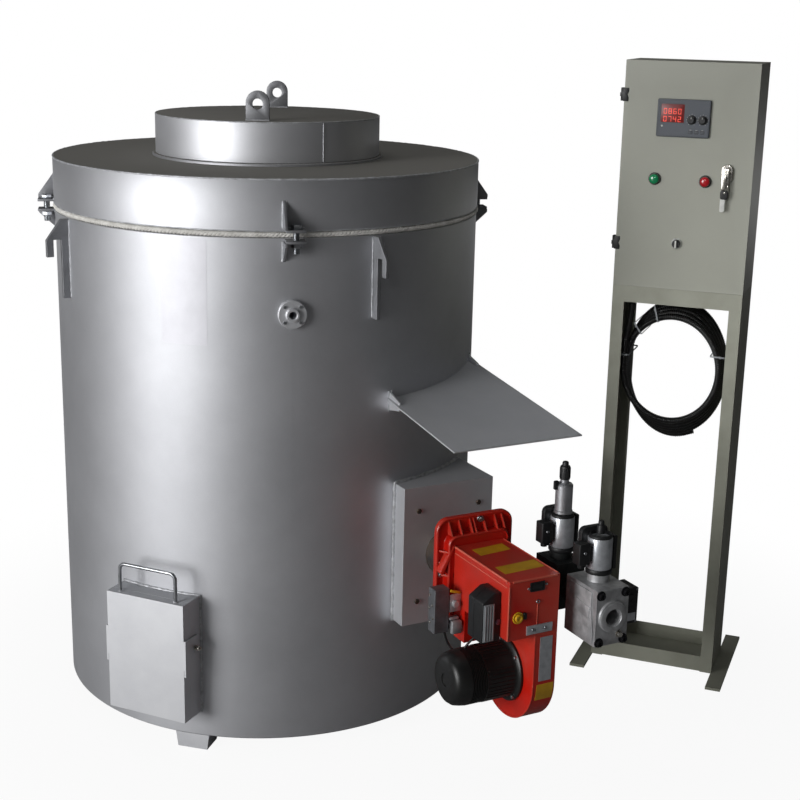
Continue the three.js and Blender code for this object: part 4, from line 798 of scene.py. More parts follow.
def hexPart(name, radius, low, high, washer=0):
    # a chamfered hexagon, with a washer under it where one is asked for
    c = radius * 0.1
    made = [lathe(name, [(0, low), (radius - c, low), (radius, low + c), (radius, high - c), (radius - c, high),
                         (0, high)], 6)]
    if washer:
        made.append(lathe("washer", [(0, low - washer), (radius + 2, low - washer), (radius + 2.6, low - washer / 2),
                                     (radius + 2, low), (0, low)], 24))
    return joined(name, made)


def makeClampBolts():
    k = clampLook
    nut, head = k["lower"][0] - 0.3, k["upper"][1] + 0.3
    shank = lathe("shank", threadProfile(8, head + 10 - 68, head), 20)
    top = hexPart("head", 13, head + 1.6, head + 10, washer=1.6)
    under = hexPart("nut", 13, nut - 12, nut - 1.6)
    ring = lathe("washer", [(0, nut - 1.6), (15, nut - 1.6), (15.6, nut - 0.8), (15, nut), (0, nut)], 24)
    bolt = joined("bolt", [shank, top, under, ring])
    for i, heading in enumerate(k["headings"]):
        one = copied(bolt, Matrix())
        one.name = one.data.name = f"clamp_bolt_{i + 1}_threaded"
        settle(one, onDrum(heading) @ shift(k["boltX"], -k["boltOut"]), "zincPlate")
        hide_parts(f"clamp_bolt_{i + 1}")
    bpy.data.objects.remove(bolt)


makeClampBolts()

# lid with its lifting lugs
lidLook = {"radius": 291, "bottom": 1449.6, "top": 1548.6, "seam": 27.7,
           "lug": {"width": 58, "height": 72, "thickness": 10, "hole": 26, "holeUp": 40, "out": 240, "heading": -6}}


def makeLid():
    k, u = lidLook, lidLook["lug"]
    r, low, high = k["radius"], k["bottom"], k["top"]
    profile = [(r - 5, low), (r - 1.2, low), (r, low + 1.2), (r, high - 3), (r - 0.9, high - 0.9), (r - 3, high),
               (0, high), (0, high - 6), (r - 5, high - 6), (r - 5, low)]
    casing = lathe("lid_shell", profile, drum["steps"])
    settle(casing, furnaceFrame, "lidPaintWithPaintedLight", body="lid")
    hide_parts("lid_casing")
    half, crown = u["width"] / 2, high + u["height"] - u["width"] / 2
    outline = [(-half, high - 1), (half, high - 1)] + arc((0, crown), half, 0, 180, 20)
    lug = placed(cutPlate("lug", outline, u["thickness"]), shift(0, u["thickness"] / 2))
    cutAway(lug, roundTool(u["hole"] / 2, (-40, 40), 0, high + u["holeUp"], 0, 32))
    soften(lug, 1.1)
    places = [turn(u["heading"] + h) @ shift(0, -u["out"]) for h in (0, 180)]
    lugs = repeated("lid_lifting_lugs", lug, places)
    settle(lugs, furnaceFrame, "platePaintWithPaintedShade", body="lid")
    side = u["thickness"] / 2
    base = joined("weld", [bead([(x, y, high + 0.5) for x in stepsBetween(-half, half, 4)], radius=3)
                           for y in (-side - 1, side + 1)])
    seam = bead([(0, -r - 0.2, z) for z in stepsBetween(low + 2, high - 3, 4)], radius=1.5, lump=0.4)
    rim = bead(hoop(r - 1.2, high - 1, 240), radius=1.5, closed=True, lump=0.5)
    welds = joined("lid_welds", [repeated("weld", base, places), placed(seam, turn(k["seam"])), rim])
    settle(welds, furnaceFrame, "weldMetal", body="lid", angle=60)


makeLid()

# insulation that shows when the lid is lifted: the plug, the ring's lining and the crucible's rim
linings = {
    "lid_plug_cast": ("lid_plug", "lid", [(0, 1377.9), (256, 1377.9), (262, 1383.9), (262, 1449.9), (285.7, 1449.9),
                                          (285.7, 1542.3), (0, 1542.3)]),
    "ring_lining_cast": ("cover_ring_lining", "plant", [(281, 1329.3), (546.7, 1329.3), (546.7, 1436.7),
                                                        (278, 1436.7), (275, 1433.7), (275, 1335.3), (281, 1329.3)]),
}
potLook = {"radius": 262, "bottom": 329.9, "height": 950, "wall": 32}


def makeLinings():
    for name, (node, body, profile) in linings.items():
        lining = lathe(name, profile, 128)
        settle(lining, furnaceFrame, "castable", body=body)
        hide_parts(node)
    # crucible: a barrel on a narrower foot, with a rounded rim and a pouring band
    outer = [(0.6, 0), (0.7, 0.055), (0.8, 0.12), (0.885, 0.25), (0.95, 0.42), (0.985, 0.56), (1, 0.7),
             (0.992, 0.85), (0.98, 0.935), (0.985, 0.95), (0.998, 0.962), (1, 0.97), (1, 0.992)]
    r, low, height = potLook["radius"], potLook["bottom"], potLook["height"]
    points = [(0, low)] + [(r * out, low + height * up) for out, up in outer]
    points += [(258, 1278.5), (252, 1279.9), (240, 1279.9), (233, 1277), (230, 1270)]
    points += [(r * out - potLook["wall"], low + height * up) for out, up in reversed(outer[3:9])]
    points += [(196, 452), (178, 405), (150, 382), (100, 375.5), (0, 374.9)]
    pot = lathe("crucible_pot", points, 96)
    settle(pot, furnaceFrame, "clayGraphite", angle=50)
    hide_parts("crucible")


makeLinings()


# thermocouple port: flange, boss and four screws
def panScrew(radius, height):
    # a low round head with a cross recess seen as a small dish
    return lathe("screw", [(0, -0.5), (radius, -0.5), (radius, height * 0.45), (radius * 0.86, height * 0.85),
                           (radius * 0.5, height), (radius * 0.42, height * 0.5), (0, height * 0.45)], 14)


def makePort():
    k = portLook
    f, b, hole = k["flange"], k["boss"], k["bore"]
    profile = [(hole, -60), (hole, 19.5), (hole + 1.5, 21), (b - 1.5, 21), (b, 19.5), (b, 12.8), (b + 0.8, 12),
               (f - 1.5, 12), (f, 10.5), (f, 3.5), (f - 1.5, 2), (b, 2), (b, -60), (hole, -60)]
    flange = placed(lathe("port_flange_turned", profile, 64), shift(0, -550) @ outwards)
    place = onDrum(k["heading"]) @ shift(0, 0, k["height"])
    settle(flange, place, "sheetPaintWithPaintedLight")
    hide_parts("port_flange")
    places = [shift(k["screwAt"] * math.cos(a), -562, k["screwAt"] * math.sin(a)) @ outwards
              for a in [math.radians(h) for h in (45, 135, 225, 315)]]
    screws = repeated("port_screws", hexPart("screw", 4.2, 0, 3.2), places)
    settle(screws, place, "zincPlate")


makePort()

# clean-out door: its wire handle, welded to the top of the pan, and the insulating pad inside the pan
handleLook = {"wire": 4.5, "half": 80, "rise": 494, "bend": 16, "out": 602, "foot": 422.3}


def makeHandle():
    k = handleLook
    w, top, c = k["half"], k["rise"], k["bend"]
    points = [(-w, k["foot"]), (-w, k["foot"] + 20), (-w, top - c - 8)]
    points += arc((-w + c, top - c), c, 180, 90, 8) + [(-w / 3, top), (w / 3, top)]
    points += arc((w - c, top - c), c, 90, 0, 8) + [(w, top - c - 8), (w, k["foot"] + 20), (w, k["foot"])]
    wire = tube("door_handle_wire", [(x, -k["out"], z) for x, z in points], k["wire"], sides=14)
    settle(wire, doorFrame, "zincPlate", body="cleanout", angle=60)
    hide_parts("door_handle")
    seams = joined("door_welds", [bead(hoop(5.2, k["foot"] + 0.5, 14, (x, -k["out"])), radius=1.8, closed=True,
                                       lump=0.6) for x in (-w, w)])
    settle(seams, doorFrame, "weldMetal", body="cleanout", angle=60)
    neck = [(0, 6.8), (6.4, 6.8), (6.4, 9.6), (4.4, 10.2)]
    head = lathe("head", neck + [(r, 17 + up) for r, up in arc((0, 0), 7.4, -52, 90, 10)], 24)
    places = [shift(110, -576, 300) @ rightwards, shift(-110, -576, 300) @ leftwards]
    heads = repeated("cleanout_pin_heads", head, places)
    settle(heads, doorFrame, "plated")
    pad = block("door_insulation", (-104, 104), (-611.6, -594), (118, 416), bevel=4, segments=3)
    settle(pad, doorFrame, "castable", body="cleanout")


makeHandle()

# burner box: low dark screws at the corners of its face
def makeBoxStuds():
    stud = joined("stud", [lathe("rod", threadProfile(5, -14, 0.6, pitch=1.8, depth=0.6), 16),
                           hexPart("head", 7, 0.3, 4)])
    places = [shift(240 + x, -590, 502 + z) @ outwards for x in (-85, 85) for z in (-120, 120)]
    studs = repeated("burner_box_screws", stud, places)
    settle(studs, boxFrame, "scaledSteel")


makeBoxStuds()
print("furnace pieces made")

# ---- burner: the flange's rim and ribs, the strip beside the body and the folded edges of its cover
def finOut(name, outline, x, thickness, bevel=0.6):
    # an upright plate drawn in (out, up), its middle at x
    return placed(cutPlate(name, outline, thickness, bevel=bevel), shift(x + thickness / 2, 0) @ turn(-90))


flangeLook = {"plate": ((-101, 112), (359, 641)), "step": ((-79, 90), (399, 601)), "face": 120, "stepFace": 143,
              "rib": 4, "across": (-68, -40, -10, 0, 28, 60, 80), "up": (440, 470, 500, 530, 560)}


def makeFlangeDetails():
    k = flangeLook
    (x0, x1), (z0, z1) = k["plate"]
    (s0, s1), (t0, t1) = k["step"]
    near, far = k["face"], k["stepFace"]
    parts = []
    for x in k["across"]:
        parts.append(finOut("rib", [(near - 1, t1 - 1), (far - 1, t1 - 1), (near - 1, z1 - 7)], x, k["rib"]))
        parts.append(finOut("rib", [(near - 1, z0 + 7), (far - 1, t0 + 1), (near - 1, t0 + 1)], x, k["rib"]))
    for z in k["up"]:
        for inner, outer in ((s1 - 1, x1 - 6), (s0 + 1, x0 + 6)):
            outline = [(inner, near - 1), (outer, near - 1), (inner, far - 1)]
            side = cutPlate("rib", outline if outer > inner else outline[::-1], k["rib"], bevel=0.6)
            side.data.transform(shift(0, 0, z + k["rib"] / 2) @ turn(90, "X"))
            parts.append(side)
    for spanX, spanZ, out, corner, wire in ((k["plate"][0], k["plate"][1], near - 1.5, 30, 4.2),
                                            (k["step"][0], k["step"][1], far - 1.2, 20, 3)):
        (a, b), (c, d) = spanX, spanZ
        rim = roundedOutline((a + 4, b - 4), (c + 4, d - 4), corner, 8)
        parts.append(tube("rim", [(x, -out, z) for x, z in rim], wire, sides=10, closed=True))
    ribs = joined("burner_flange_ribs", parts)
    settle(ribs, burnerFrame, "redEnamel")
    bolts = repeated("burner_flange_screws", hexPart("screw", 6.5, 0, 6, washer=1.4),
                     [shift(x, -near - 1.4, z) @ outwards for x, z in ((-88, 500), (100, 500), (20, 627), (20, 373))])
    settle(bolts, burnerFrame, "zincPlate")


bodyLook = {"left": -62, "right": 73, "back": 145, "face": 395, "top": 575, "bottom": 430}
scroll = {"out": 272, "up": 300, "radius": 122, "lip": 120.6, "lips": ((14.5, 2), (73, 1.4))}


def makeCoverEdges():
    # pressed lips along the cover's edges, the slanted strip by the flange and the fold down the front
    k = bodyLook
    left, right, face, top, back, low = k["left"], k["right"], k["face"], k["top"], -k["back"] - 2, k["bottom"]
    runs = [([(left, back, top - 1), (left, -face + 9, top - 1)], 2.8, 10),
            ([(left - 0.4, back, top - 16), (left - 0.4, -face + 9, top - 16)], 1.3, 8),
            ([(right, back, top - 1), (right, -face + 9, top - 1)], 2.2, 10),
            ([(left + 8, -face, top - 1), (right - 8, -face, top - 1)], 2.4, 10),
            ([(left - 0.2, -face + 0.4, top - 12), (left - 0.2, -face + 0.4, low + 2)], 2, 8),
            ([(15, -face - 0.2, top - 62), (15, -face - 0.2, low + 30)], 1.1, 8)]
    # and round the scroll's two edges, from its front down and back underneath
    out, up, r = scroll["out"], scroll["up"], scroll["lip"]
    for x, wire in scroll["lips"]:
        points = [(x, -out - r, z) for z in stepsBetween(up, low - 2)]
        points += [(x, -out - r * math.cos(a), up - r * math.sin(a))
                   for a in [math.pi * i / 40 for i in range(1, 37)]]
        runs.append((points, wire, 8))
    edges = [tube("lip", points, wire, sides=sides) for points, wire, sides in runs]
    knob = lathe("knob", [(0, 0), (3.2, 0), (3.2, 2), (2, 3), (0, 3.2)], 12)
    edges.append(placed(knob, shift(15, -face, top - 58) @ outwards))
    strip = cutPlate("strip", [(-61, 578), (-67, 576), (-101, 514), (-97, 508), (-92, 508)], 24, bevel=0.8)
    edges.append(placed(strip, shift(0, -121)))
    lips = joined("burner_cover_edges", edges)
    settle(lips, burnerFrame, "redEnamel")


labelLook = {"lift": 0.35, "bands": (((-36, 52), (180, 222), -8), ((-44, 66), (300, 346), -6)), "bellyX": (24, 70),
             "plateX": (28, 62), "plateZ": (312, 424), "bellyZ": (262, 304)}


def makeLabels():
    # blank fields: two yellow bands across the cover, one round the scroll, and a pale rating plate
    k = labelLook
    top, lift = bodyLook["top"], k["lift"]
    bands = []
    for (x0, x1), (n0, n1), slant in k["bands"]:
        bands.append(placed(cutPlate("band", [(x0, n0), (x1, n0 + slant), (x1, n1 + slant), (x0, n1)], lift),
                            shift(0, 0, top + lift) @ turn(90, "X")))
    centre, r = (scroll["out"], scroll["up"]), scroll["radius"]
    low, high = [math.degrees(math.asin((z - scroll["up"]) / r)) for z in k["bellyZ"]]
    curve = arc(centre, r + lift, low, high, 12) + arc(centre, r - 2, high, low, 12)
    x0, x1 = k["bellyX"]
    bands.append(finOut("band", curve, (x0 + x1) / 2, x1 - x0, bevel=0))
    fields = joined("blank_labels", bands)
    activate(fields)
    bpy.ops.object.mode_set(mode="EDIT")
    closeUp()
    settle(fields, burnerFrame, "yellowVinyl")
    plate = block("rating_plate_blank", k["plateX"], (-394.5, -393), k["plateZ"], bevel=0.25, segments=1)
    settle(plate, burnerFrame, "brushedFoil")


frontLook = {"window": ((-5, 29), (546, 563)), "latch": ((-13, 57), (438, 460)), "reset": (-37, 485)}


def makeCoverFront():
    k = frontLook
    face = bodyLook["face"]
    (x0, x1), (z0, z1) = k["window"]
    frame = cutPlate("window", roundedOutline((x0 - 3, x1 + 3), (z0 - 3, z1 + 3), 3, 4), 2.4, bevel=0.6)
    glass = block("glass", (x0 + 1, x1 - 1), (-1.4, 0), (z0 + 1, z1 - 1), bevel=0.3)
    cutAway(frame, blockTool((x0, x1), (-6, -0.8), (z0, z1)))
    knob = cutPlate("knob", roundedOutline((-24, -16), (480, 496), 2, 3), 6, bevel=1)
    dark = placed(joined("cover_window", [frame, glass, knob]), shift(0, -face))
    settle(dark, burnerFrame, "blackPlastic")
    (x0, x1), (z0, z1) = k["latch"]
    latch = block("latch", (x0, x1), (-face - 3, -face + 0.1), (z0, z1), bevel=0.6)
    cutAway(latch, *[roundTool(3.4, (-400, -396), x, 449, 0, 20) for x in (10, 32)])
    settle(latch, burnerFrame, "brushedFoil")
    screws = [panScrew(4.2, 2.6), panScrew(4.2, 2.6), panScrew(3.2, 2.4), panScrew(3.2, 2.4), panScrew(5, 3.4)]
    places = [(4, 449, face + 2.8), (38, 449, face + 2.8), (-11, 552, face), (36, 557, face), (15, 517, face)]
    for screw, (x, z, out) in zip(screws, places):
        screw.data.transform(shift(x, -out, z) @ outwards)
    made = joined("cover_screws", screws)
    settle(made, burnerFrame, "zincPlate")
    x, z = k["reset"]
    collar = lathe("reset_collar", [(10.6, -1), (14.5, -1), (14.5, 1.6), (13.4, 2.6), (11.4, 2.6), (10.6, 1.8),
                                    (10.6, -1)], 36)
    settle(collar, burnerFrame @ shift(x, -face, z) @ outwards, "yellowPlastic")
    button = lathe("reset_button_cap", [(0, -8), (9.6, -8), (9.6, 6.2), (8.4, 7.6), (5.2, 7.6), (4.2, 6.4),
                                        (0, 6.2)], 36)
    settle(button, burnerFrame @ shift(x, -face, z) @ outwards, "yellowPlastic", body="burner_reset")
    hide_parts("reset_button")


controlLook = {"side": ((-112, 420), (-62.4, 420), (-62.4, 540), (-82, 540), (-112, 519)), "back": 298, "depth": 64,
               "plate": ((-108.5, -80.5), (424, 515)), "ribs": 4}


def makeControlBox():
    # flame safeguard: a moulded housing with a slanted shoulder, a seam, and a pale ribbed terminal cover
    k = controlLook
    housing = placed(cutPlate("control_housing", k["side"], k["depth"], bevel=2.6, segments=3), shift(0, -k["back"]))
    cutAway(housing, blockTool((-114, -60), (-325, -323.8), (415, 545)),
            roundTool(8.6, (-366, -360), -69, 468, 0, 24))
    core = cutPlate("core", [(x + (0.8 if x < -80 else -0.2), z + (0.8 if z < 480 else -0.8)) for x, z in k["side"]],
                    k["depth"] - 6, bevel=0)
    core.data.transform(shift(0, -k["back"] - 3))
    housing = joined("control_housing", [housing, core])
    settle(housing, burnerFrame, "blackPlastic")
    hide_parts("control_box")
    (x0, x1), (z0, z1) = k["plate"]
    parts = [block("plate", (x0, x1), (-364.2, -361.5), (z0, z1), bevel=0.6)]
    for i in range(k["ribs"]):
        x = x0 + 4 + i * (x1 - x0 - 8) / (k["ribs"] - 1)
        parts.append(block("rib", (x - 1.6, x + 1.6), (-366.4, -363.8), (z0 + 3, z1 - 3), bevel=0.6))
    parts.append(block("tab", (x0 - 3, x0 + 2), (-340, -318), (508, 512), bevel=1))
    cover = joined("terminal_cover", parts)
    settle(cover, burnerFrame, "tieNylon")
    button = lathe("lockout_lens", [(0, -2), (7.6, -2), (7.6, 1.6), (6, 3.2), (3, 3.9), (0, 4)], 24)
    settle(button, burnerFrame @ shift(-69, -361, 468) @ outwards, "lockoutLens")


makeFlangeDetails()
makeCoverEdges()
makeLabels()
makeCoverFront()
makeControlBox()
print("burner cover made")

# motor: finned frame, rounded rear cover, a broad front flange with its screws; the actuator of the air damper
motorLook = {"right": 14.7, "left": -153.3, "radius": 67, "flange": 80, "plate": 9, "bell": 56, "slots": 9,
             "fins": 40}


def makeMotor():
    k = motorLook
    r, f, w = k["radius"], k["flange"], k["plate"]
    length = k["right"] - k["left"]
    # heights run from the burner's side of the flange out to the rear cover
    points = [(0, 0), (f - 1, 0), (f, 1), (f, w - 3), (f - 3, w), (r + 3, w + 1.5), (r, w + 6), (r, 86)]
    z = 88
    points += [(r + 0.8, 87), (r + 0.8, z + 2)]
    for i in range(k["slots"]):
        points += [(r - 2.6, z + 2.4), (r - 2.6, z + 4), (r + 0.4, z + 4.4), (r + 0.4, z + 6.4)]
        z += 4.4
    points += [(r, z + 4), (r - 2, length - 24), (r - 5, length - 12), (k["bell"], length - 4),
               (k["bell"] - 10, length)]
    points += [(16, length), (15, length - 2.5), (0, length - 2.5)]
    frame = lathe("motor_frame", points, 96)
    fins = []
    for i in range(k["fins"]):
        # four plain stretches are left, at the diagonals
        if i % 20 not in (4, 5, 14, 15):
            fin = block("fin", (r - 2, r + 1.6), (-1, 1), (w + 7, 84), bevel=0.5, segments=1)
            fins.append(placed(fin, turn(i * 360 / k["fins"])))
    motor = joined("motor_frame", [frame] + fins)
    place = burnerFrame @ shift(k["right"], -scroll["out"], scroll["up"]) @ leftwards
    settle(motor, place, "motorEnamel")
    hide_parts("burner_motor")
    screws = repeated("motor_screws", panScrew(5.2, 4.4), [turn(a) @ shift(73, 0, w) for a in (12, 132, 222, 312)])
    settle(screws, place, "zincPlate")


actuatorLook = {"left": -136, "screws": ((160, 470), (172, 446), (163, 400), (177, 414), (157, 436))}


def makeActuatorDetails():
    k = actuatorLook
    places = [shift(k["left"], -n, z) @ leftwards for n, z in k["screws"]]
    screws = repeated("actuator_screws", panScrew(3.4, 2.4), places)
    settle(screws, burnerFrame, "plated")
    hub = lathe("hub", [(0, 0), (9, 0), (9, 8), (7, 9.5), (0, 9.5)], 24)
    bracket = [block("lever", (-94.5, -63.5), (-183, -179), (425, 470)),
               block("lever", (-92, -66), (-196, -184), (372, 404), bevel=2),
               placed(hub, shift(-80, -182, 446) @ outwards), block("ledge", (-94, -70), (-186, -170), (405.5, 412))]
    casting = joined("damper_linkage", bracket)
    settle(casting, burnerFrame, "dieCast")
    tag = placed(block("yellow_strip", (-95, -68), (-187, -183.4), (474, 480), bevel=0.5),
                 shift(-80, 0, 477) @ turn(18, "Y") @ shift(80, 0, -477))
    settle(tag, burnerFrame, "yellowVinyl")
    cables = []
    for start, end, sag, thick in (((-100, -168, 376), (-116, -238, 357), (-104, -186, 350), 3.2),
                                   ((-66, -300, 421), (-96, -262, 366), (-84, -270, 392), 2.8)):
        a, b, c = Vector(start), Vector(end), Vector(sag)
        run = [(a * (1 - t) ** 2 + c * 2 * t * (1 - t) + b * t * t) for t in [i / 14 for i in range(15)]]
        cables.append(tube("lead", run, thick, sides=10))
    leads = joined("burner_leads", cables)
    settle(leads, burnerFrame, "polyamide", angle=60)


makeMotor()
makeActuatorDetails()
print("motor and actuator made")

# gas train: the coils in their housings, plugs, the slow-opening cylinder, bolts and screws of the valves
coilLook = {"x": 175, "first": 246, "second": 402.5, "yokeBack": 38}


def makeCoil(name, out, node):
    # a foil-wrapped winding in front of a black moulded yoke, on a black ring, with a square plug on its left
    x, yokeBack = coilLook["x"], coilLook["yokeBack"]
    foil = lathe(name + "_foil", [(15, 578), (28.5, 578), (29.3, 580), (29.3, 651), (28.3, 653), (15, 653),
                                  (15, 578)], 48)
    settle(foil, burnerFrame @ shift(x, -out), "brushedFoil")
    shape = roundedOutline((x - 37, x + 37), (571, 671), 15, 6)
    back = placed(cutPlate("yoke", shape, 15, bevel=2), shift(0, -out + yokeBack))
    ring = lathe("ring", [(12, 566.3), (30.5, 566.3), (31.5, 568), (31.5, 575.5), (30, 578), (12, 578), (12, 566.3)],
                 40)
    crown = lathe("ring", [(22.6, 652), (27.8, 652), (27.2, 658), (24, 660.6), (22.6, 660.6), (22.6, 652)], 40)
    for part in (ring, crown):
        placed(part, shift(x, -out))
    side = block("cheek", (x + 27.6, x + 37), (-out - 17, -out + yokeBack), (574, 656), bevel=2.5)
    plug = block("plug", (x - 66, x - 36), (-out - 15, -out + 15), (594, 646), bevel=2.5, segments=3)
    socket = block("plug", (x - 37, x - 27.4), (-out - 12, -out + 12), (600, 636), bevel=1.5)
    gland = placed(lathe("gland", [(0, 0), (9, 0), (9, -9), (7.6, -11), (5, -11), (5, -9), (0, -9)], 6),
                   shift(x - 51, -out, 594))
    yoke = joined(name + "_yoke", [back, ring, crown, side, plug, socket, gland])
    settle(yoke, burnerFrame, "blackPlastic")
    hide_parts(node)
    screw = placed(panScrew(4, 2.6), shift(x - 51, -out - 15, 624) @ outwards)
    screw.name = screw.data.name = name + "_screw"
    settle(screw, burnerFrame, "zincPlate")


def ribsRound(count, spanX, half, spanZ, bevel):
    # small upright ribs round a knob or a nut
    return [placed(block("rib", spanX, (-half, half), spanZ, bevel=bevel, segments=1), turn(i * 360 / count))
            for i in range(count)]


def makeSlowCylinder():
    x, out = coilLook["x"], coilLook["first"]
    can = [(0, 661.3), (21.5, 661.3), (22.5, 662.3), (22.5, 668), (21, 669.5), (21, 731), (18, 735), (12, 736),
           (10.5, 738), (10.5, 748), (0, 748)]
    body = lathe("slow_cylinder_can", can, 48)
    settle(body, burnerFrame @ shift(x, -out), "satinAluminium")
    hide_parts("slow_opening_cylinder")
    cap = lathe("cap", [(0, 746), (12.4, 746), (12.4, 776), (11, 778.6), (8, 779.4), (7.6, 787), (6, 789.3),
                        (0, 789.3)], 32)
    ridges = ribsRound(18, (11.6, 13.2), 0.8, (749, 774), 0.3)
    cap = placed(joined("slow_cylinder_cap", [cap] + ridges), shift(x, -out))
    lug = placed(cutPlate("lug", roundedOutline((x - 30, x - 18), (722, 744), 3, 3), 7, bevel=1),
                 shift(0, -out + 3.5))
    settle(joined("slow_cylinder_cap", [cap, lug]), burnerFrame, "blackPlastic")
    out = coilLook["second"]
    spindle = lathe("valve_2_spindle", [(0, 661.3), (9.5, 661.3), (9.5, 680), (8.6, 681.4), (7, 681.4), (7, 690),
                                        (5.6, 692), (0, 692)], 28)
    settle(spindle, burnerFrame @ shift(x, -out), "blackPlastic")
    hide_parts("valve_2_cap")


def socketBolt(radius, height):
    # a round head with a hexagon recess, on its boss
    r, flat = radius, height - 3.4
    return joined("bolt", [lathe("boss", [(0, -0.4), (r + 4, -0.4), (r + 3.4, 2), (0, 2)], 24),
                           lathe("head", [(0, 1.8), (r, 1.8), (r, height - 0.8), (r - 0.8, height),
                                          (r * 0.62, height), (r * 0.5, flat), (0, flat)], 18)])


valveLook = {"front": 465, "left": 130}


def makeValveDetails():
    k = valveLook
    places = [shift(x, -k["front"], z) @ outwards for x, z in ((141, 534), (209, 534), (141, 418), (209, 418))]
    bolts = repeated("valve_bolts", socketBolt(8, 9), places)
    settle(bolts, burnerFrame, "blackOxide")
    small = [shift(k["left"], -n, z) @ leftwards
             for n, z in ((409, 491), (427, 484), (372, 522), (372, 430), (446, 430))]
    small += [shift(135, -n, z) @ leftwards for n, z in ((216, 520), (276, 520), (216, 460), (276, 460))]
    screws = repeated("valve_screws", panScrew(3.6, 2.6), small)
    settle(screws, burnerFrame, "plated")
    # raised pads, a web and the bright ring of the inlet
    cheek = [(352, 418), (372, 414), (456, 414), (458, 440), (446, 500), (446, 538), (356, 538)]
    pads = joined("valve_2_pads", [
        finOut("pad", cheek, 128.8, 3, bevel=1),
        finOut("pad", [(384, 478), (440, 470), (444, 500), (388, 506)], 127.6, 5, bevel=1.5),
        finOut("pad", [(352, 414), (380, 414), (380, 538), (352, 538)], 221.2, 3, bevel=1)])
    settle(pads, burnerFrame, "dieCast")
    ring = lathe("inlet_ring", [(21.2, -12), (21.2, 6.2), (22.4, 8), (33, 8), (35.5, 6.6), (36, 5), (36, 2),
                                (21.2, 2)], 64)
    inner = [lathe("thread", [(21.2, z), (20.2, z + 0.6), (21.2, z + 1.4)], 48)
             for z in (-9, -6.6, -4.2, -1.8, 0.6, 3)]
    mouth = joined("inlet_mouth", [ring] + inner)
    settle(mouth, burnerFrame @ shift(175, -k["front"], 476.5) @ outwards, "dieCast", angle=40)
    plug = placed(hexPart("pressure_plug", 7, 0, 7, washer=1.4), shift(197, -k["front"] - 1.4, 431) @ outwards)
    settle(plug, burnerFrame, "plated")
    # pressure switch: the seam of its lid, screws and a pale strip
    dial = lathe("dial", [(0, 0), (14, 0), (14, 2), (12.5, 3.4), (4, 3.4), (3, 2), (0, 2)], 32)
    cover = joined("pressure_switch_lid", [block("lid", (221.5, 263.4), (-443.6, -437), (439, 527), bevel=1.6),
                                           placed(dial, shift(242, -443.4, 500) @ outwards)])
    settle(cover, burnerFrame, "blackPlastic")
    strip = block("switch_strip", (226, 258), (-444.4, -443.2), (446, 466), bevel=0.3, segments=1)
    settle(strip, burnerFrame, "brushedFoil")
    places = [shift(x, -443.5, z) @ outwards for x in (226, 259) for z in (522, 443)]
    pins = repeated("switch_screws", panScrew(2.8, 1.8), places)
    settle(pins, burnerFrame, "zincPlate")


makeCoil("first_coil", coilLook["first"], "valve_1_coil")
makeCoil("second_coil", coilLook["second"], "valve_2_coil")
makeSlowCylinder()
makeValveDetails()
print("gas train made")

# ---- cabinet: what sits on the door and turns or moves with it
panelFrame = cabinetFrame @ shift(0, 0, conduit["underside"])


def onPanel(x, z):
    # heights of a turned piece run out of the door from here
    return panelFrame @ shift(x, 0, z) @ outwards


controllerLook = {"x": (91.5, 230.5), "z": (406, 504), "proud": 8, "window": ((101.5, 162.5), (443.5, 491)),
                  "keys": ((181.5, 420), (197, 420), (212.5, 420)), "lamp": (106, 434), "digit": (8.6, 14.5, 1.9),
                  "rows": ((472, "0860"), (452, "0742")), "firstDigit": 108.5, "digitStep": 12.6,
                  "dials": ((183, "left_dial", "controller_dial_left"), (212, "right_dial", "controller_dial_right")),
                  "dialHeight": 452}
segments = {"0": "abcdef", "2": "abged", "4": "fgbc", "6": "afgedc", "7": "abc", "8": "abcdefg"}


def digitBars(mark, x, z):
    # a seven-segment figure made of thin bars
    width, height, thick = controllerLook["digit"]
    half = height / 2
    bars = {"a": ((0, width), (height - thick, height)), "d": ((0, width), (0, thick)),
            "g": ((0, width), (half - thick / 2, half + thick / 2)), "f": ((0, thick), (half, height)),
            "e": ((0, thick), (0, half)), "b": ((width - thick, width), (half, height)),
            "c": ((width - thick, width), (0, half))}
    return [block("bar", (x + a + 0.4, x + b - 0.4), (-7.9, -7.3), (z + c + 0.4, z + d - 0.4), bevel=0)
            for (a, b), (c, d) in [bars[s] for s in segments[mark]]]


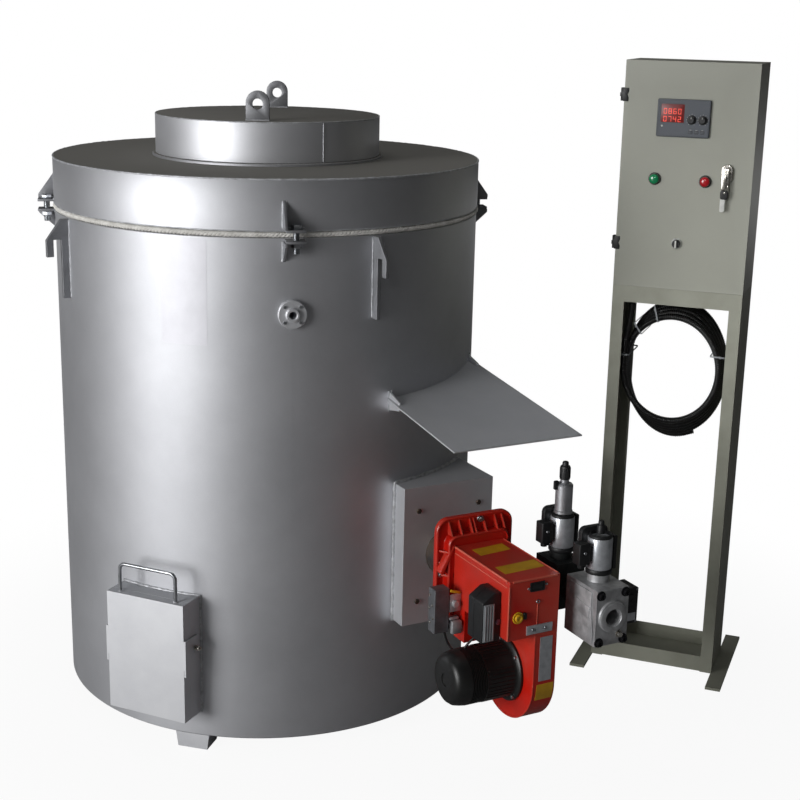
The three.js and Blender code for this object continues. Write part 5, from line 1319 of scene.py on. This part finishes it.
def makeController():
    k = controllerLook
    (x0, x1), (z0, z1) = k["x"], k["z"]
    bezel = cutPlate("bezel", roundedOutline(k["x"], k["z"], 4, 5), k["proud"], bevel=1.4, segments=3)
    cutAway(bezel, blockTool((x0 + 4, x1 - 4), (-12, -6.8), (z0 + 4, z1 - 4)),
            blockTool(k["window"][0], (-12, -4.5), k["window"][1]))
    body = block("body", (x0 + 4.5, x1 - 4.5), (0.2, 70), (z0 + 4.5, z1 - 4.5), bevel=1.2)
    for x, _, _ in k["dials"]:
        for part in (bezel, body):
            cutAway(part, roundTool(3.7, (-12, 8.5), x, k["dialHeight"], 0, 24))
    vents = [blockTool((x0 + 20 + 12 * i, x0 + 26 + 12 * i), (40, 60), (z1 - 6, z1 + 2)) for i in range(8)]
    cutAway(body, joined("cutter", vents))
    housing = joined("controller_housing", [bezel, body])
    settle(housing, panelFrame, "panelPlastic", body="panel_door")
    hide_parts("temperature_controller")
    (wx0, wx1), (wz0, wz1) = k["window"]
    # the printed foil: four fields round the window
    left, right, low, high = x0 + 4.3, x1 - 4.3, z0 + 4.3, z1 - 4.3
    fields = [((left, wx0 - 1.5), (low, high)), ((wx1 + 1.5, right), (low, high)),
              ((wx0 - 1.5, wx1 + 1.5), (wz1 + 1.5, high)), ((wx0 - 1.5, wx1 + 1.5), (low, wz0 - 1.5))]
    faces = [block("face", spanX, (-7, -6.6), spanZ, bevel=0) for spanX, spanZ in fields]
    for x, _, _ in k["dials"]:
        cutAway(faces[1], roundTool(3.9, (-12, 8), x, k["dialHeight"], 0, 24))
    settle(joined("controller_face", faces), panelFrame, "panelFoil", body="panel_door")
    glass = block("display_window", (wx0 + 0.3, wx1 - 0.3), (-7.2, -5), (wz0 + 0.3, wz1 - 0.3), bevel=0.4)
    settle(glass, panelFrame, "redFilter", body="panel_door")
    bars = [bar for z, text in k["rows"] for i, mark in enumerate(text)
            for bar in digitBars(mark, k["firstDigit"] + i * k["digitStep"], z - 7)]
    settle(joined("display_digits", bars), panelFrame, "litSegments", body="panel_door")
    # pale scale marks round the dials, three membrane keys and a small lamp
    marks = []
    for x, _, _ in k["dials"]:
        for i in range(11):
            tick = block("tick", (-0.35, 0.35), (-7.25, -6.9), (12.8, 15 if i % 5 == 0 else 14.2), bevel=0)
            marks.append(placed(tick, shift(x, 0, k["dialHeight"]) @ turn(150 - i * 30, "Y")))
    for x, z in k["keys"]:
        marks.append(block("tick", (x - 2.5, x + 2.5), (-7.25, -6.9), (z + 5.6, z + 6.3), bevel=0))
    settle(joined("controller_marks", marks), panelFrame, "paleInk", body="panel_door")
    rims = [cutPlate("rim", roundedOutline((x - 5.6, x + 5.6), (z - 4.2, z + 4.2), 2, 3), 7.25) for x, z in k["keys"]]
    settle(joined("controller_key_rims", rims), panelFrame, "blackPlastic", body="panel_door")
    keys = [cutPlate("key", roundedOutline((x - 4.8, x + 4.8), (z - 3.4, z + 3.4), 1.6, 3), 7.9, bevel=0.4)
            for x, z in k["keys"]]
    settle(joined("controller_keys", keys), panelFrame, "panelPlastic", body="panel_door")
    x, z = k["lamp"]
    lens = lathe("controller_lamp", [(0, 6), (2.6, 6), (2.6, 7.6), (1.6, 8.4), (0, 8.6)], 16)
    settle(lens, onPanel(x, z), "paleInk", body="panel_door")
    for x, body, node in k["dials"]:
        knob = [(0, -5), (3, -5), (3, 8.2), (11.6, 8.2), (12, 9), (11.6, 10.4), (8.6, 11.2), (8.2, 17.6),
                (7.2, 18.8), (0, 18.9)]
        dial = joined(node + "_knob", [lathe("knob", knob, 40)] + ribsRound(16, (8, 8.9), 0.6, (11.4, 17.8), 0.25))
        settle(dial, onPanel(x, k["dialHeight"]), "blackPlastic", body=body)
        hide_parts(node)
        pointer = block(node + "_pointer", (-0.6, 0.6), (3, 8), (18.6, 19.15), bevel=0.15, segments=1)
        settle(pointer, onPanel(x, k["dialHeight"]), "paleInk", body=body)


buttonLook = {"green": (95, "greenCap", "start_button", "green_button", "green_plastic"),
              "red": (229, "redCap", "stop_button", "red_button", "red_plastic"), "height": 294,
              "selector": (165, 125)}


def makeButtons():
    level = buttonLook["height"]
    x, z = buttonLook["selector"]
    selectorPlace = onPanel(x, z)
    rings = []
    ringShape = [(13.4, 0), (16.6, 0), (16.6, 3.2), (15.6, 4.5), (14.2, 4.7), (13.4, 4.2), (13.4, 0)]
    for tone in ("green", "red"):
        x, finish, body, node, slot = buttonLook[tone]
        cap = [(0, -26), (9, -26), (9, 4.6), (12.9, 4.6), (12.9, 11.4), (12.3, 13.6), (10.6, 15.4), (6, 16.9),
               (0, 17.3)]
        button = lathe(tone + "_button_cap", cap, 56)
        settle(button, onPanel(x, level), finish, body=body)
        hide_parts(node)
        rings.append(placed(lathe("ring", ringShape, 56), shift(x, 0, level) @ outwards))
    ring = lathe("selector_ring", [(11.5, 0), (14.6, 0), (14.6, 2.2), (13.6, 3.8), (12.4, 4.2), (11.5, 3.6),
                                   (11.5, 0)], 56)
    settle(joined("button_bezels", rings), panelFrame, "blackPlastic", body="panel_door")
    settle(ring, selectorPlace, "zincPlate", body="panel_door")
    # selector: a fluted cap with a wedge grip and a white line on it
    cap = lathe("cap", [(0, -26), (8, -26), (8, 0.4), (10.7, 0.4), (10.7, 9.8), (9.6, 11), (0, 11)], 40)
    grip = block("grip", (-3.4, 3.4), (-10.3, 10.3), (10.4, 17), bevel=1.2, segments=3)
    knob = joined("selector_knob", [cap, grip])
    settle(knob, selectorPlace, "blackPlastic", body="selector")
    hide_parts("selector_switch")
    line = block("selector_line", (-2.2, 2.2), (-9.6, 9.9), (16.7, 17.4), bevel=0.2, segments=1)
    settle(line, selectorPlace, "paleInk", body="selector")


lockLook = {"x": 285, "z": 318}


def makeLock():
    # cam lock: a rounded chrome plate, the turning barrel, and a key with its bunch hanging on it
    k = lockLook
    x, z = k["x"], k["z"]
    plate = cutPlate("lock_plate_chromed", roundedOutline((x - 16, x + 16), (z - 24, z + 24), 15.5, 10), 7,
                     bevel=2.4, segments=4)
    cutAway(plate, roundTool(10.5, (-12, 4), x, z, 0, 40))
    settle(plate, panelFrame, "plated", body="panel_door")
    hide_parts("door_lock")
    barrel = placed(lathe("barrel", [(0, -29), (9.9, -29), (9.9, 14.4), (8.6, 16), (0, 16)], 48),
                    shift(x, 0, z) @ outwards)
    cam = cutPlate("cam", [(x - 7, z), (x + 7, z), (x + 7, z - 52), (x + 3, z - 58), (x - 3, z - 58),
                           (x - 7, z - 52)], 3, bevel=0.5)
    cam.data.transform(shift(0, 29))
    blade = placed(cutPlate("blade", roundedOutline((x - 10, x + 8), (z - 36, z + 14), 7, 6), 3.6, bevel=1),
                   shift(0, -15.4))
    second = placed(cutPlate("blade", roundedOutline((x - 11, x + 2), (z - 42, z - 2), 6, 6), 2.4, bevel=0.8),
                    shift(0, -19.4))
    loop = tube("loop", [(x - 1 + 9 * math.cos(a), -19 - 1.5 * math.sin(3 * a), z - 38 + 10 * math.sin(a))
                         for a in [math.tau * i / 36 for i in range(36)]], 1.1, sides=8, closed=True)
    key = joined("lock_barrel_and_key", [barrel, cam, blade, second, loop])
    settle(key, panelFrame, "plated", body="lock")
    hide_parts("lock_barrel")
    bow = placed(cutPlate("key_bow", roundedOutline((272.5, 293), (252, 276), 6, 6), 6, bevel=1.8, segments=3),
                 shift(0, -14.5))
    cutAway(bow, roundTool(3, (-30, 0), 283, 269, 0, 20))
    settle(bow, panelFrame, "blackPlastic", body="lock")
    tag = placed(cutPlate("key_tag", roundedOutline((273.5, 286), (219, 252.6), 4, 5), 2, bevel=0.6), shift(0, -16.4))
    settle(tag, panelFrame, "paleInk", body="lock")


hingeLook = {"axis": (-6.5, 11), "levels": (116, 510), "radius": 5.4, "segment": 5.2, "end": 17}


def makeHinges():
    # black butterfly hinges: two fixed knuckles with their arms, one on the door with a wing on its face
    k = hingeLook
    x, y = k["axis"]
    fixed, moving = [], []
    for level in k["levels"]:
        for low, high in ((-k["end"], -k["segment"] - 0.6), (k["segment"] + 0.6, k["end"])):
            part = placed(rod("knuckle", k["radius"], low, high, 28), shift(x, y, level))
            arm = block("arm", (x - 5.4, -0.2), (y, 27), (level + low, level + high), bevel=0.8)
            fixed += [part, arm]
        part = placed(rod("knuckle", k["radius"], -k["segment"], k["segment"], 28), shift(x, y, level))
        outline = [(-9.5, -5), (-9.5, 5), (-3.5, 8), (-3.5, 17.5), (11.5, 17.5), (11.5, 8), (8, 0), (11.5, -8),
                   (11.5, -17.5), (-3.5, -17.5), (-3.5, -8)]
        wing = cutPlate("wing", [(a, level + b) for a, b in outline], 1.8, bevel=0.5)
        arm = block("arm", (x - 5.2, -0.4), (-1, y), (level - 5, level + 5), bevel=0.6)
        moving += [part, wing, arm]
    sides = joined("hinge_sleeves", fixed)
    settle(sides, panelFrame, "blackPlastic")
    wings = joined("hinge_wings", moving)
    settle(wings, panelFrame, "blackPlastic", body="panel_door")


def makeGland():
    # cable gland: hexagon and domed nut under the cabinet, thread and lock nut inside it
    domed = [(9.5, -40), (11, -40), (14, -36), (14.6, -26), (14.6, -15), (9.5, -15)]
    thread = [(8, -14)] + threadProfile(9.7, -0.5, 12, pitch=1.5, depth=0.6)[1:-1] + [(8, 12), (8, -14)]
    parts = [lathe("nut", domed + domed[:1], 40), hexPart("hexagon", 15, -14.4, -0.4), lathe("thread", thread, 32),
             hexPart("locknut", 14, 3.4, 8)] + ribsRound(16, (14.2, 15.4), 0.9, (-34, -17), 0.3)
    cutAway(parts[1], rod("cutter", 8.4, -20, 4))
    cutAway(parts[3], rod("cutter", 8.4, 0, 14))
    gland = joined("cable_gland", parts)
    settle(gland, panelFrame @ shift(conduit["glandX"], conduit["y"]), "blackPlastic")
    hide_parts("conduit_gland")


tieLook = {"band": 3.8, "thickness": 1.5, "corner": 6, "depth": (30.2, 158.2), "bundle": (31, 165)}


def strap(spanX, spanY, head):
    # a flat band round a bundle, its cut edge up, with the ratchet head and a short tail in front of it
    k = tieLook
    t = k["thickness"]
    inner = [(low + t, high - t) for low, high in (spanX, spanY)]
    band = cutPlate("band", roundedOutline(spanX, spanY, k["corner"]), k["band"])
    hollow = placed(cutPlate("cutter", roundedOutline(*inner, k["corner"] - t), k["band"] + 4), shift(0, 2))
    cutAway(band, hollow)
    band.data.transform(shift(0, 0, -k["band"] / 2) @ turn(-90, "X"))
    front = spanY[0]
    parts = [block("head", (head - 3, head + 3), (front - 3.6, front + 0.3), (-3, 3), bevel=0.8),
             block("tail", (head + 2.5, head + 12), (front - 2.4, front - 1.2), (-1.8, 1.8), bevel=0.3)]
    return joined("strap", [band] + parts)


def makeTies():
    depth = tieLook["depth"]
    for side, spanX, level, head in (("left", (3.6, 50), -200, 30), ("right", (271.6, 346.4), -182, 300)):
        tie = strap(spanX, depth, head)
        tie.name = tie.data.name = "coil_tie_strap_" + side
        settle(tie, panelFrame @ shift(0, 0, level), "tieNylon")
        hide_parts("coil_tie_" + side)
    # two more round the upper left of the bundle alone
    more = []
    for x, z, lean, half in ((70, -123, 125, 19), (118, -78, 104, 24)):
        more.append(placed(strap((-half, half), tieLook["bundle"], half - 12), shift(x, 0, z) @ turn(-lean, "Y")))
    ties = joined("bundle_ties", more)
    settle(ties, panelFrame, "tieNylon")


makeController()
makeButtons()
makeLock()
makeHinges()
makeGland()
makeTies()
print("cabinet pieces made")

# drum: the paler field left where a plate or print has been
patchLook = {"headings": (-27, -15), "z": (1051, 1303), "lift": 0.35}


def makePatch():
    k = patchLook
    r = drum["radius"] + 0.05
    low, high = k["z"]
    out = r + k["lift"]
    patch = trace("pale_field", [(r, 0, low), (r, 0, high), (out, 0, high), (out, 0, low), (r, 0, low)])
    bpy.ops.mesh.remove_doubles(threshold=0.001)
    bpy.ops.mesh.spin(steps=14, angle=math.radians(k["headings"][1] - k["headings"][0]), center=(0, 0, 0),
                      axis=(0, 0, 1))
    closeUp()
    settle(patch, furnaceFrame @ turn(k["headings"][1] - 90), "paleField")


makePatch()
